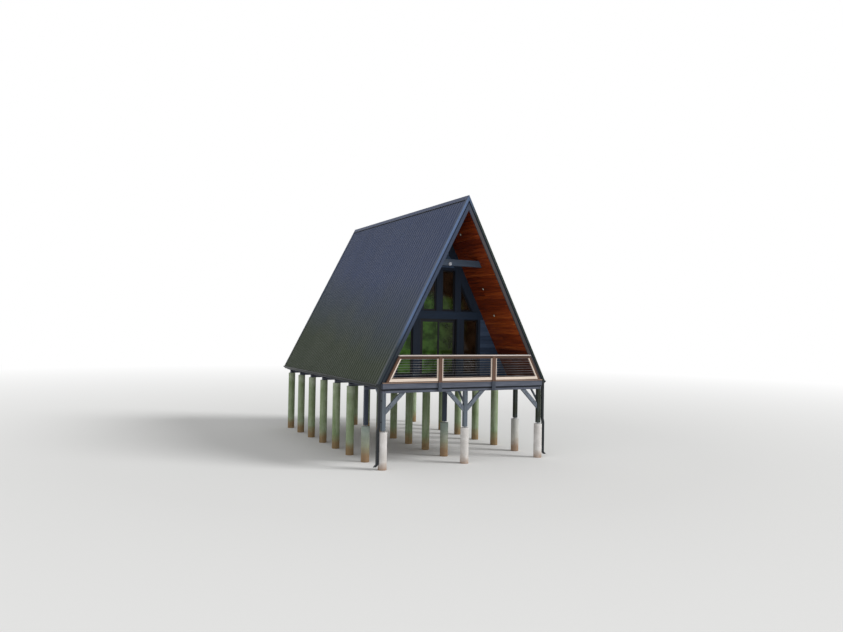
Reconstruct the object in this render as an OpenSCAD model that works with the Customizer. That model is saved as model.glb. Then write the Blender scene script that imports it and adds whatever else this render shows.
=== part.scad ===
// A-frame cabin on piers: two steep ribbed metal roof planes down to a raised
// platform, a covered front deck with a cable railing, and a glazed front gable.
// Lengths are in millimetres. Heights inside the modules count from the deck
// surface, and lengths along Y from the front face of the front rake boards.

/* [Overall] */
// Half of the width across the roof planes at deck level
half_span = 3360; // [2800:10:4200]
// Height of the ridge above the deck surface
ridge_h = 6530; // [5400:10:8000]
// Length of the roof along the ridge
roof_len = 10880; // [8800:10:13200]
// Height of the deck surface above the lowest pier foot
deck_h = 2880; // [2400:10:3600]
// Depth of the covered front deck, to the face of the front gable wall
porch_depth = 2100; // [1500:10:3000]
// Roof overhang behind the back gable wall
rear_overhang = 300; // [200:10:600]

/* [Roof build-up] */
// Depth of a rafter, square to the slope
rafter_d = 184; // [140:1:235]
// Thickness of rafters, joists, rims and rake boards
plank_t = 38; // [32:1:50]
// Distance from one rafter to the next
rafter_gap = 610; // [400:5:800]
// Thickness of the roof sheathing
sheathing_t = 15; // [12:1:25]
// Thickness of the tongue and groove lining under the rafters
lining_t = 16; // [12:1:25]
// Depth of the ridge board
ridge_board_d = 285; // [235:1:340]

/* [Metal roofing] */
// Distance from one rib to the next
rib_pitch = 195; // [150:1:320]
// Height of a rib above the flat of the sheet
rib_h = 22; // [15:1:40]
// Width of a rib at its foot
rib_foot = 58; // [40:1:80]
// Width of a rib at its top
rib_top = 26; // [15:1:35]
// Thickness of sheet metal parts
sheet_t = 2; // [1.5:0.5:3]
// Width of each wing of the ridge cap
cap_wing = 170; // [120:5:250]
// Width of the rake trim on the slope
trim_top = 110; // [70:5:140]
// Depth of the rake trim down the face of the rake board
trim_face = 70; // [50:5:90]
// How far the rake trim's lower edge kicks out
trim_kick = 12; // [6:1:20]
// Width of the groove between the rake trim and the wide rake board
groove_w = 50; // [30:5:70]
// Depth of that groove
groove_d = 16; // [8:1:22]

/* [Gutters] */
// Depth of the roof's lower edge below the deck surface
eave_drop = 50; // [35:5:80]
// Width of the gutter at its top
gutter_w = 185; // [160:5:220]
// Depth of the gutter
gutter_d = 110; // [90:5:130]
// Gap between the rafters' feet and the gutter
gutter_drop = 4; // [2:1:10]
// How far the roofing sheet reaches down into the gutter
drip = 25; // [15:5:35]
// Width of a downspout along X
spout_w = 88; // [60:1:95]
// Depth of a downspout along Y
spout_d = 76; // [50:1:100]
// Gap between a downspout and the pier it steps round
pier_gap = 10; // [5:1:30]

/* [Platform] */
// Thickness of the deck boards and of the floor panel
board_t = 28; // [22:1:40]
// Depth of joists and rim boards
joist_d = 184; // [140:1:235]
// Side of the square floor beams and timber posts
post_w = 140; // [120:1:160]
// How far the rim board stands in front of the rake boards
rim_proud = 60; // [55:1:90]
// How far the rim board stands in front of the front beam
beam_set = 45; // [10:1:60]
// Overhang of the front deck board past the rim board
nosing = 25; // [10:1:40]
// Level distance from the roof plane at deck level in to the platform's side
side_set = 150; // [130:5:180]
// Distance from the platform's side to the outer line of posts
column_set = 75; // [75:5:300]
// Number of rows of piers from front to back
rows = 8; // [5:1:9]
// Number of rows, from the front, that have a timber post on a short pier
post_rows = 2; // [1:1:3]

/* [Piers and braces] */
// Diameter of a round concrete pier
pier_d = 295; // [250:5:400]
// Height of the short piers under the timber posts
short_pier_h = 1240; // [800:10:1500]
// Height of the steel stand-off under a timber post
base_h = 45; // [30:1:80]
// Side of the steel base plates
base_w = 120; // [100:1:135]
// Width of a knee brace, square to its length
brace_w = 140; // [89:1:140]
// Thickness of a knee brace
brace_t = 89; // [60:1:120]
// Drop and reach of a knee brace along the front beam
brace_reach = 690; // [450:10:800]
// Drop and reach of a knee brace that runs back from a front post
side_reach = 640; // [450:10:800]

/* [Front gable] */
// Thickness of the gable walls
wall_t = 140; // [120:1:200]
// Half of the width of the sliding door's opening
door_half = 780; // [700:10:900]
// Height of the opening of the door and the lower windows
door_h = 2180; // [2050:10:2300]
// Depth of the wide trim band over the door
band_d = 290; // [200:10:350]
// How far the trim boards stand in front of the wall's face
trim_proud = 20; // [12:1:30]
// Width of the trim board beside a lower window
window_trim = 100; // [70:5:140]
// How far the window sills and the band's drip cap stand in front of the wall's face
sill_proud = 40; // [32:1:60]
// Width of the trim post between the door and a lower window
side_post = 300; // [200:10:350]
// Width of the wall between a lower window's top corner and the lining, level
low_win_margin = 249; // [180:1:400]
// Height of a lower window's sill above the floor
low_sill = 90; // [60:5:200]
// Half of the width of the post between the two middle upper windows
mid_post = 130; // [80:5:160]
// Width of a middle upper window's opening
up_win_w = 540; // [400:10:600]
// Width of the post between a middle and an outer upper window
up_post = 260; // [150:10:300]
// Height of the upper windows' sill above the trim band
up_sill_gap = 20; // [10:5:100]
// Height from a middle upper window's top corner up to the lining
up_head_gap = 674; // [400:1:900]
// Width of the trim between a sloping window edge and the lining, level
slope_trim = 360; // [200:10:400]
// Width of a window frame's bar
frame_w = 48; // [35:1:70]
// Depth of a window frame from outside to inside
frame_d = 90; // [70:1:110]
// Distance of a window frame behind the wall's outer face
frame_set = 20; // [5:1:25]
// Distance from the middle to a back window on the ground floor
back_win_x = 700; // [400:10:900]
// Width of a back window's opening on the ground floor
back_win_w = 640; // [450:10:700]
// Height of a back window's sill above the floor
back_sill = 950; // [800:10:1200]
// Thickness of a glazing unit
glass_t = 20; // [12:1:30]

/* [Sliding door] */
// Width of the door frame's jambs and head
jamb_w = 40; // [30:1:60]
// Height of the door's sill track
sill_h = 30; // [20:1:45]
// Thickness of a door panel
leaf_t = 38; // [32:1:45]
// Width of a door panel's stiles and top rail
stile_w = 76; // [60:1:110]
// Height of a door panel's bottom rail
kick_h = 110; // [90:1:200]
// Clearance around the sliding panel
run_gap = 7; // [6:1:12]
// Distance between the faces of the two panels
leaf_space = 10; // [7:1:15]
// Height of the door handle's middle above the floor
handle_z = 1000; // [900:10:1100]

/* [Railing] */
// Height of the top of the railing above the deck
rail_h = 914; // [860:2:1100]
// Width of a railing post across the front
rail_post_w = 140; // [85:1:150]
// Depth of a railing post from front to back
rail_post_d = 89; // [80:1:100]
// Depth of the railing posts' lower ends below the deck
rail_post_drop = 345; // [230:5:350]
// Distance from the middle to a railing post
rail_post_x = 1085; // [900:5:1300]
// Width of the railing's cap
cap_w = 133; // [115:1:150]
// Depth of the rail under the cap
under_rail_d = 89; // [70:1:110]
// Width of the bars of a railing panel
bar_w = 42; // [36:1:50]
// Height of a railing panel's bottom bar
bottom_bar_h = 95; // [70:1:140]
// Gap between the deck and the bottom bar
toe_gap = 25; // [20:1:60]
// Diameter of a steel cable
cable_d = 6; // [4:0.5:8]
// Distance from one cable to the next
cable_pitch = 86; // [75:1:100]
// Height of the lowest cable above the deck
cable_z = 163; // [150:1:200]
// Width of the sloping end post, level
end_post_w = 72; // [60:1:100]
// Depth of the sloping end post from front to back
end_post_d = 140; // [120:1:200]

/* [Porch] */
// Distance of the collar beam behind the front
collar_y = 705; // [400:5:1200]
// Height of the collar beam's underside above the deck
collar_z = 4075; // [3600:5:4500]
// Depth of the collar beam
collar_d = 235; // [180:5:290]
// Distance of the porch lights behind the front
light_y = 1200; // [900:10:1400]
// Distance of the highest porch light from the ridge, down the slope
light_first = 1270; // [1000:10:1500]
// Distance from one porch light to the next, down the slope
light_gap = 1107; // [900:1:1200]
// Diameter of a porch light
light_d = 110; // [80:5:150]
// Distance from the middle to the lamp on the collar beam
lamp_x = 334; // [0:1:700]
// Diameter of the lamp on the collar beam
lamp_d = 130; // [90:5:180]

/* [Hidden] */

// Slope of the roof planes
run = half_span / ridge_h;
pitch_sin = ridge_h / sqrt(half_span * half_span + ridge_h * ridge_h);
pitch_cos = half_span / sqrt(half_span * half_span + ridge_h * ridge_h);

// Distances from the middle to the platform's side, to the gutter's back and to the
// outer line of posts
side_x = half_span - side_set;
eave_x = side_x + plank_t;
column_x = side_x - column_set;

// Depths of the roof's layers below the plane of the rib tops
pan_d = rib_h;
sheathing_top = pan_d + sheet_t;
rafter_top = sheathing_top + sheathing_t;
lining_top = rafter_top + rafter_d;
roof_t = lining_top + lining_t;

// Half of the joint between the pieces that meet under the ridge cap
ridge_joint = 1;

// Gap between a piece and the sloping face or the sheet's end that it is fitted to
seam = 0.5;
inside_d = roof_t + seam;
past_end = seam + sheet_t;

// Places along Y
rim_y = -rim_proud;
beam_y = rim_y + beam_set + post_w / 2;
platform_end = roof_len - rear_overhang;
last_row_y = platform_end - plank_t - post_w / 2;
row_pitch = (last_row_y - beam_y) / (rows - 1);
rail_y = rim_y + plank_t - rail_post_d / 2;
back_wall_y = platform_end - wall_t;
front_y = rail_y - cap_w / 2;
back_y = roof_len + past_end + trim_kick;
origin_y = (front_y + back_y) / 2;

// Heights
joist_z = -board_t - joist_d;
beam_z = joist_z - post_w;
gutter_z = -eave_drop - gutter_drop;
short_top = short_pier_h - deck_h;
band_top = door_h + band_d;
up_sill = band_top + up_sill_gap;
cap_z = rail_h - plank_t;
under_z = cap_z - under_rail_d;

// Level distance from the middle to the plane that lies d below the rib tops, at height z
function plane_x(z, d) = half_span - run * z - d / pitch_sin;

// Height of that plane at the level distance x from the middle
function plane_z(x, d) = (half_span - d / pitch_sin - x) / run;

// Extrudes an outline in X and Z along Y, from y0 to y1
module along_y(y0, y1) {
    translate([0, y1, 0])
        rotate([90, 0, 0])
            linear_extrude(y1 - y0)
                children();
}

// A box between two corners
module box(x0, y0, z0, x1, y1, z1) {
    translate([x0, y0, z0])
        cube([x1 - x0, y1 - y0, z1 - z0]);
}

// The child on the right, and the same mirrored to the left
module both_sides() {
    children();
    mirror([1, 0, 0])
        children();
}

// The left twin of a piece that is drawn on the right
module left_side() {
    mirror([1, 0, 0])
        children();
}

// Moves the house from its own frame to the origin under its middle
module placed() {
    translate([0, -origin_y, deck_h])
        children();
}

// Turns a shape drawn as length, height above the slope and distance down the slope
// onto the right slope: X becomes Y, Y points outwards, Z runs down from the ridge
module on_slope() {
    multmatrix([
        [0, pitch_sin, pitch_cos, 0],
        [1, 0, 0, 0],
        [0, pitch_cos, -pitch_sin, ridge_h],
        [0, 0, 0, 1]
    ])
        children();
}

// Outline in X and Z of the right roof slope between two depths, endless at its foot
module slope_band(d1, d2) {
    reach = roof_len;
    polygon([
        [0, plane_z(0, d1)],
        [plane_x(-reach, d1), -reach],
        [plane_x(-reach, d2), -reach],
        [0, plane_z(0, d2)]
    ]);
}

// Outline of the right roof layer between two depths: it stands on the platform, and
// outside the platform's side it ends at the eave's level
module layer(d1, d2) {
    intersection() {
        slope_band(d1, d2);
        union() {
            square([half_span * 2, ridge_h * 2]);
            translate([side_x, -eave_drop])
                square([half_span, ridge_h]);
        }
    }
}

// The same layer, short of its twin on the left by the joint at the ridge
module ridged_layer(d1, d2) {
    difference() {
        layer(d1, d2);
        square([ridge_joint, ridge_h * 2]);
    }
}

// Foundations and platform

function row_y(i) = beam_y + i * row_pitch;

column_xs = [-column_x, 0, column_x];

module short_piers() {
    color("lightgray")
        for (i = [0 : post_rows - 1], x = column_xs)
            translate([x, row_y(i), -deck_h])
                cylinder(h = short_pier_h, d = pier_d, $fn = 64);
}

module tall_piers() {
    color("gray")
        for (i = [post_rows : rows - 1], x = column_xs)
            translate([x, row_y(i), -deck_h])
                cylinder(h = deck_h + beam_z, d = pier_d, $fn = 64);
}

module timber_posts() {
    half = post_w / 2;
    color("slategray")
        for (i = [0 : post_rows - 1], x = column_xs)
            box(x - half, row_y(i) - half, short_top + base_h, x + half, row_y(i) + half, beam_z);
}

module post_bases() {
    plate_t = 8;
    half = base_w / 2;
    color("dimgray")
        for (i = [0 : post_rows - 1], x = column_xs)
            translate([x, row_y(i), short_top]) {
                box(-half, -half, 0, half, half, plate_t);
                cylinder(h = base_h, d = base_w / 2, $fn = 32);
                box(-half, -half, base_h - plate_t, half, half, base_h);
            }
}

module floor_beams() {
    half = post_w / 2;
    beam_x = column_x + half;
    color("slategray")
        for (i = [0 : rows - 1])
            box(-beam_x, row_y(i) - half, beam_z, beam_x, row_y(i) + half, joist_z);
}

// Outline of a brace between a post's face and the underside of what it holds
module brace_outline(face, reach, width) {
    half = width / sqrt(2);
    polygon([
        [face, face - reach - half],
        [reach + half, 0],
        [reach - half, 0],
        [face, face - reach + half]
    ]);
}

module knee_braces() {
    half = post_w / 2;
    depth = brace_t / 2;
    color("lightslategray") {
        // Along the front beam: inwards from the outer posts, both ways from the middle one
        for (x = [-column_x, 0])
            translate([x, beam_y, beam_z])
                along_y(-depth, depth)
                    brace_outline(half, brace_reach, brace_w);
        for (x = [0, column_x])
            translate([x, beam_y, beam_z])
                mirror([1, 0, 0])
                    along_y(-depth, depth)
                        brace_outline(half, brace_reach, brace_w);
        // Back from the front posts, up to the joists over them
        for (x = column_xs)
            translate([x, beam_y, joist_z])
                rotate([0, 0, 90])
                    along_y(-plank_t / 2, plank_t / 2)
                        brace_outline(half, side_reach, brace_t);
    }
}

joist_bays = 16;
joist_gap = 2 * column_x / joist_bays;

// A board across the joists' ends, at the front and at the back
module rim_boards() {
    color("slategray")
        for (y = [rim_y, platform_end - plank_t])
            box(-side_x, y, joist_z, side_x, y + plank_t, -board_t);
}

// Joists between the rims, one over each line of posts and a doubled one along each
// side, whose outer board carries the rafters' feet and the gutter
module floor_joists() {
    half = plank_t / 2;
    bays = [for (i = [0 : joist_bays]) -column_x + i * joist_gap];
    color("slategray") {
        for (x = bays)
            box(x - half, rim_y + plank_t, joist_z, x + half, platform_end - plank_t, -board_t);
        both_sides() {
            box(side_x - plank_t, rim_y + plank_t, joist_z, side_x, platform_end - plank_t, -board_t);
            box(side_x, 0, joist_z, eave_x, roof_len, -eave_drop);
        }
    }
}

module deck_boards() {
    notch_x = rail_post_w / 2;
    notch_y = rail_post_d / 2;
    color("sienna")
        difference() {
            box(-side_x, rim_y - nosing, -board_t, side_x, porch_depth, 0);
            for (x = [-rail_post_x, rail_post_x])
                box(x - notch_x, rail_y - rail_post_d, -board_t - 1, x + notch_x, rail_y + notch_y, 1);
        }
}

module floor_panel() {
    color("burlywood")
        box(-side_x, porch_depth, -board_t, side_x, platform_end, 0);
}

// Roof

module rafters() {
    half = plank_t / 2;
    first = plank_t;
    count = floor((roof_len - 3 * plank_t) / rafter_gap);
    gap = (roof_len - 3 * plank_t) / count;
    ridge_top = plane_z(half, rafter_top);
    color("burlywood") {
        along_y(first, roof_len - plank_t)
            polygon([
                [-half, ridge_top - ridge_board_d],
                [half, ridge_top - ridge_board_d],
                [half, ridge_top],
                [-half, ridge_top]
            ]);
        both_sides()
            for (i = [0 : count])
                along_y(first + i * gap, first + i * gap + plank_t)
                    difference() {
                        layer(rafter_top, lining_top);
                        square([half, ridge_h]);
                    }
    }
}

module roof_sheathing() {
    color("tan")
        both_sides()
            along_y(plank_t, roof_len - plank_t)
                ridged_layer(sheathing_top, rafter_top);
}

rib_count = floor((roof_len - rib_foot) / rib_pitch);
rib_start = (roof_len - rib_count * rib_pitch) / 2;

// One surface of the ribbed sheet as length and height, sunk by d
function rib_line(d) = [
    [0, -rib_h - d],
    for (i = [0 : rib_count])
        let (y = rib_start + i * rib_pitch, foot = rib_foot / 2 - d / 2, top = rib_top / 2 - d / 2)
            for (p = [[-foot, -rib_h], [-top, 0], [top, 0], [foot, -rib_h]])
                [y + p[0], p[1] - d],
    [roof_len, -rib_h - d]
];

function reversed(list) = [for (i = [len(list) - 1 : -1 : 0]) list[i]];

// Sheet from the ridge down into the gutter
module roofing_sheet() {
    difference() {
        on_slope()
            linear_extrude((ridge_h + eave_drop) / pitch_sin + drip)
                polygon(concat(rib_line(0), reversed(rib_line(sheet_t))));
        box(-half_span, -1, 0, ridge_joint, roof_len + 1, ridge_h * 2);
    }
}

module right_roofing() {
    color("darkslategray")
        roofing_sheet();
}

module left_roofing() {
    color("darkslategray")
        left_side()
            roofing_sheet();
}

// Folded sheet over the ridge, resting on the rib tops
module ridge_cap() {
    edge_z = ridge_h - cap_wing * pitch_sin;
    color("darkslategray")
        along_y(0, roof_len)
            polygon([
                [0, plane_z(0, -sheet_t)],
                [plane_x(edge_z, -sheet_t), edge_z],
                [plane_x(edge_z, 0), edge_z],
                [0, plane_z(0, 0)],
                [-plane_x(edge_z, 0), edge_z],
                [-plane_x(edge_z, -sheet_t), edge_z]
            ]);
}

module roof_lining() {
    color("sienna")
        both_sides()
            along_y(plank_t, roof_len - plank_t)
                ridged_layer(lining_top, roof_t);
}

// The back twin of a piece that is drawn at the roof's front end
module back_end() {
    translate([0, roof_len, 0])
        mirror([0, 1, 0])
            children();
}

// Two boards that cover the ends of the rafters and of the lining. A groove along the
// face parts the strip behind the metal trim from the wide board under it
module rake_boards() {
    color("slategray")
        both_sides()
            difference() {
                along_y(0, plank_t)
                    ridged_layer(sheathing_top, roof_t);
                along_y(-1, groove_d)
                    slope_band(trim_face, trim_face + groove_w);
            }
}

module front_rakes() {
    rake_boards();
}

module back_rakes() {
    back_end()
        rake_boards();
}

// Folded trim over the outer rib and down the face of the rake board, with a lower
// edge that kicks out to throw the water clear
module rake_trim() {
    kick_x = past_end + trim_kick;
    kick_z = trim_face + trim_kick;
    fold = sheet_t / sqrt(2);
    color("steelblue")
        difference() {
            on_slope()
                linear_extrude((ridge_h + eave_drop) / pitch_sin + trim_face)
                    polygon([
                        [-past_end, past_end],
                        [trim_top, past_end],
                        [trim_top, seam],
                        [-seam, seam],
                        [-seam, -trim_face - sheet_t * tan(22.5)],
                        [fold - kick_x, -kick_z - fold],
                        [-kick_x, -kick_z],
                        [-past_end, -trim_face]
                    ]);
            box(-half_span, -half_span, 0, ridge_joint, half_span, ridge_h * 2);
            // The trim ends level at the eave, and its top wing stops under the ridge cap
            box(0, -half_span, -ridge_h, half_span * 2, half_span, -eave_drop);
            box(0, 0, ridge_h - cap_wing * pitch_sin, half_span, trim_top * 2, ridge_h * 2);
        }
}

module rake_trims() {
    rake_trim();
    back_end()
        rake_trim();
}

module right_rake_trims() {
    rake_trims();
}

module left_rake_trims() {
    left_side()
        rake_trims();
}

// Gutters and downspouts

// Heights of the downspout's step above the pier's top, and place and reach of its shoe
step_top = 200;
step_foot = 60;
shoe_z = 200 - deck_h;
shoe_reach = 90;

// Outline of the gutter's trough, sunk by d inside the outer one, with its rim at top
function trough(d, top) = [
    [d, top],
    [d, d - gutter_d],
    [gutter_w * 0.6 - d / 2, d - gutter_d],
    [gutter_w * 0.66 - d, -gutter_d * 0.72 + d / 2],
    [gutter_w * 0.94 - d, -gutter_d * 0.4 + d / 2],
    [gutter_w - d, -gutter_d * 0.25],
    [gutter_w - d, top]
];

module gutter() {
    color("darkslategray")
        translate([eave_x, 0, gutter_z])
            difference() {
                along_y(-past_end, roof_len + past_end)
                    polygon(trough(0, 0));
                along_y(-seam, roof_len + seam)
                    polygon(trough(sheet_t, 1));
            }
}

module right_gutter() {
    gutter();
}

module left_gutter() {
    left_side()
        gutter();
}

// From the gutter's floor straight down beside the post, out round the pier and down to
// a shoe near the ground. Its front lies in the plane of the post's front face
module downspout() {
    half = spout_w / 2;
    outlet_x = eave_x + gutter_w * 0.3;
    pier_x = max(outlet_x, column_x + pier_d / 2 + pier_gap + half);
    face_y = beam_y - post_w / 2;
    path = [
        [outlet_x, gutter_z - gutter_d],
        [outlet_x, short_top + step_top],
        [pier_x, short_top + step_foot],
        [pier_x, shoe_z],
        [pier_x + shoe_reach, shoe_z - shoe_reach]
    ];
    along_y(face_y, face_y + spout_d)
        polygon(concat(
            [for (p = path) [p[0] + half, p[1]]],
            [for (p = reversed(path)) [p[0] - half, p[1]]]
        ));
}

module downspouts() {
    color("darkslategray")
        both_sides()
            downspout();
}

// Porch under the roof's front overhang

collar_t = 89;

module collar_beam() {
    color("slategray")
        along_y(collar_y, collar_y + collar_t)
            gable_outline(collar_z, collar_z + collar_d);
}

light_count = 4;
light_t = 14;
light_lip = light_d * 0.14;

module porch_lights() {
    color("white")
        both_sides()
            for (i = [0 : light_count - 1])
                on_slope()
                    translate([light_y, -inside_d, light_first + i * light_gap])
                        rotate([90, 0, 0])
                            difference() {
                                cylinder(h = light_t, d = light_d, $fn = 48);
                                translate([0, 0, light_t / 2])
                                    cylinder(h = light_t, d = light_d - 2 * light_lip, $fn = 48);
                            }
}

// A round lamp with a flat rim and a domed cover
module collar_lamp() {
    rim_t = lamp_d / 8;
    color("white")
        translate([-lamp_x, collar_y, collar_z + lamp_d / 2])
            rotate([90, 0, 0])
                rotate_extrude($fn = 48)
                    polygon([
                        [0, 0],
                        [lamp_d / 2, 0],
                        [lamp_d / 2, rim_t],
                        [lamp_d * 0.38, rim_t * 1.9],
                        [0, rim_t * 2.3]
                    ]);
}

// Front gable

module wall_slab(y0) {
    along_y(y0, y0 + wall_t)
        children();
}

// Outline of a gable between two heights, up to the lining
module gable_outline(low, high) {
    polygon([
        [-plane_x(low, inside_d), low],
        [plane_x(low, inside_d), low],
        [plane_x(high, inside_d), high],
        [-plane_x(high, inside_d), high]
    ]);
}

// A rectangle between two corners
module rect(x0, z0, x1, z1) {
    translate([x0, z0])
        square([x1 - x0, z1 - z0]);
}

low_win_x = door_half + side_post;
low_win_w = plane_x(door_h, inside_d) - low_win_margin - low_win_x;
up_head = plane_z(mid_post + up_win_w, inside_d) - up_head_gap;

// Lower window's outline on the right, shrunk by inset
module low_window(inset) {
    rect(low_win_x + inset, low_sill + inset, low_win_x + low_win_w - inset, door_h - inset);
}

// Middle upper window's outline on the right, shrunk by inset
module mid_window(inset) {
    rect(mid_post + inset, up_sill + inset, mid_post + up_win_w - inset, up_head - inset);
}

// Outer upper window's outline on the right: a triangle whose long side follows the roof
module slope_window(inset) {
    x_in = mid_post + up_win_w + up_post + inset;
    z_low = up_sill + inset;
    d = roof_t + inset;
    polygon([
        [x_in, z_low],
        [plane_x(z_low, d) - slope_trim, z_low],
        [x_in, plane_z(x_in + slope_trim, d)]
    ]);
}

module both_outlines() {
    children();
    mirror([1, 0])
        children();
}

// A sill under a lower window, with its top sloped outwards
module low_sill_board() {
    sill_t = low_sill / 2;
    translate([low_win_x, porch_depth, low_sill])
        rotate([90, 0, 90])
            linear_extrude(low_win_w)
                polygon([
                    [0, -sill_t],
                    [0, 0],
                    [-sill_proud, -sill_t / 3],
                    [-sill_proud, -sill_t]
                ]);
}

module front_wall_side() {
    window_end = low_win_x + low_win_w;
    color("slategray") {
        wall_slab(porch_depth)
            difference() {
                polygon([
                    [door_half, 0],
                    [plane_x(0, inside_d), 0],
                    [plane_x(door_h, inside_d), door_h],
                    [door_half, door_h]
                ]);
                rect(low_win_x, low_sill, window_end, ridge_h);
            }
        along_y(porch_depth - trim_proud, porch_depth) {
            rect(door_half, 0, low_win_x, door_h);
            rect(window_end, 0, window_end + window_trim, door_h);
        }
        low_sill_board();
    }
}

module front_wall_right() {
    front_wall_side();
}

module front_wall_left() {
    left_side()
        front_wall_side();
}

// The band between the storeys, proud of the wall and with a drip cap along its top
module trim_band() {
    cap_t = trim_proud / 2;
    color("slategray") {
        along_y(porch_depth - trim_proud, porch_depth + wall_t)
            gable_outline(door_h, band_top);
        along_y(porch_depth - sill_proud, porch_depth)
            gable_outline(band_top - cap_t, band_top);
    }
}

module front_wall_upper() {
    color("darkslategray")
        wall_slab(porch_depth)
            difference() {
                gable_outline(band_top, plane_z(0, inside_d));
                both_outlines() {
                    mid_window(0);
                    slope_window(0);
                }
            }
}

// The frame between an outline and the same outline shrunk
module framed(y0) {
    along_y(y0, y0 + frame_d)
        children();
}

frame_y = porch_depth + frame_set;

module front_window_frames() {
    color("black")
        both_sides() {
            framed(frame_y)
                difference() {
                    low_window(0);
                    low_window(frame_w);
                }
            framed(frame_y)
                difference() {
                    mid_window(0);
                    mid_window(frame_w);
                }
            framed(frame_y)
                difference() {
                    slope_window(0);
                    slope_window(frame_w);
                }
        }
}

module glazed(y0) {
    along_y(y0 + (frame_d - glass_t) / 2, y0 + (frame_d + glass_t) / 2)
        children();
}

module front_glass() {
    color("lightblue", 0.5) {
        both_sides()
            glazed(frame_y) {
                low_window(frame_w);
                mid_window(frame_w);
                slope_window(frame_w);
            }
        along_y(outer_leaf_y + (leaf_t - glass_t) / 2, outer_leaf_y + (leaf_t + glass_t) / 2)
            leaf_pane(-frame_in, stile_w / 2, sill_h, head_z);
    }
}

// Sliding door: an outer fixed panel on the left and an inner sliding panel on the right

door_set = 10;
leaf_set = 14;
frame_in = door_half - jamb_w;
head_z = door_h - jamb_w;
outer_leaf_y = porch_depth + door_set + leaf_set;
inner_leaf_y = outer_leaf_y + leaf_t + leaf_space;

module door_frame() {
    color("black")
        along_y(porch_depth + door_set, porch_depth + wall_t - door_set)
            difference() {
                rect(-door_half, 0, door_half, door_h);
                rect(-frame_in, sill_h, frame_in, head_z);
            }
}

// Glass area of a door panel between two sides and two heights
module leaf_pane(x0, x1, z0, z1) {
    rect(x0 + stile_w, z0 + kick_h, x1 - stile_w, z1 - stile_w);
}

module leaf_frame(x0, x1, z0, z1, y0) {
    along_y(y0, y0 + leaf_t)
        difference() {
            rect(x0, z0, x1, z1);
            leaf_pane(x0, x1, z0, z1);
        }
}

module fixed_door_panel() {
    color("black")
        leaf_frame(-frame_in, stile_w / 2, sill_h, head_z, outer_leaf_y);
}

slide_x1 = frame_in - run_gap;
slide_z0 = sill_h + run_gap;
slide_z1 = head_z - run_gap;
handle_reach = 36;
handle_len = 260;
grip_d = 22;

// A bow handle standing off the face of the sliding panel, towards -Y
module handle() {
    along = handle_len / 2 - grip_d;
    for (z = [-along, along])
        translate([0, 0, z])
            rotate([90, 0, 0])
                cylinder(h = handle_reach, d = grip_d, $fn = 32);
    translate([0, -handle_reach, -handle_len / 2])
        cylinder(h = handle_len, d = grip_d, $fn = 32);
}

module sliding_door_panel() {
    handle_x = slide_x1 - stile_w / 2;
    color("black") {
        leaf_frame(-stile_w / 2, slide_x1, slide_z0, slide_z1, inner_leaf_y);
        translate([handle_x, inner_leaf_y, handle_z])
            handle();
        translate([handle_x, inner_leaf_y + leaf_t, handle_z])
            mirror([0, 1, 0])
                handle();
    }
}

module sliding_door_glass() {
    color("lightblue", 0.5)
        along_y(inner_leaf_y + (leaf_t - glass_t) / 2, inner_leaf_y + (leaf_t + glass_t) / 2)
            leaf_pane(-stile_w / 2, slide_x1, slide_z0, slide_z1);
}

// Back gable

module back_low_window(inset) {
    rect(back_win_x + inset, back_sill + inset, back_win_x + back_win_w - inset, door_h - inset);
}

module back_wall() {
    color("darkslategray")
        wall_slab(back_wall_y)
            difference() {
                gable_outline(0, plane_z(0, inside_d));
                both_outlines() {
                    back_low_window(0);
                    mid_window(0);
                }
            }
}

back_frame_y = back_wall_y + wall_t - frame_set - frame_d;

module back_window_frames() {
    color("black")
        both_sides() {
            framed(back_frame_y)
                difference() {
                    back_low_window(0);
                    back_low_window(frame_w);
                }
            framed(back_frame_y)
                difference() {
                    mid_window(0);
                    mid_window(frame_w);
                }
        }
}

module back_glass() {
    color("lightblue", 0.5)
        both_sides()
            glazed(back_frame_y) {
                back_low_window(frame_w);
                mid_window(frame_w);
            }
}

// Railing

// Level distance from the middle to the railing's sloping end, less a width
function rail_end(z, width) = plane_x(z, inside_d) - width;

// Level width that the sloping end post and its seam take
end_w = end_post_w + seam;

module railing_posts() {
    half_w = rail_post_w / 2;
    half_d = rail_post_d / 2;
    color("saddlebrown") {
        for (x = [-rail_post_x, rail_post_x]) {
            box(x - half_w, rail_y - half_d, -board_t, x + half_w, rail_y + half_d, cap_z);
            // Below the deck the post is notched over the rim board
            box(x - half_w, rail_y - half_d, -rail_post_drop, x + half_w, rim_y, 0);
        }
        both_sides()
            along_y(rim_y - nosing, rim_y - nosing + end_post_d)
                polygon([
                    [rail_end(0, end_post_w), 0],
                    [rail_end(0, 0), 0],
                    [rail_end(cap_z, 0), cap_z],
                    [rail_end(cap_z, end_post_w), cap_z]
                ]);
    }
}

inner_x = rail_post_x - rail_post_w / 2;
outer_x = rail_post_x + rail_post_w / 2;

module under_rails() {
    color("saddlebrown")
        along_y(rail_y - plank_t / 2, rail_y + plank_t / 2) {
            rect(-inner_x, under_z, inner_x, cap_z);
            both_outlines()
                polygon([
                    [outer_x, under_z],
                    [rail_end(under_z, end_w), under_z],
                    [rail_end(cap_z, end_w), cap_z],
                    [outer_x, cap_z]
                ]);
        }
}

module rail_cap() {
    lap = 15;
    color("wheat")
        along_y(rail_y - cap_w / 2, rail_y + cap_w / 2)
            polygon([
                [-rail_end(cap_z, -lap), cap_z],
                [rail_end(cap_z, -lap), cap_z],
                [rail_end(rail_h, -lap), rail_h],
                [-rail_end(rail_h, -lap), rail_h]
            ]);
}

cable_count = floor((under_z - cable_z) / cable_pitch) + 1;

// A cable along X between two places at height z
module cable(x0, x1, z) {
    translate([x0, rail_y, z])
        rotate([0, 90, 0])
            cylinder(h = x1 - x0, d = cable_d, $fn = 16);
}

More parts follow.
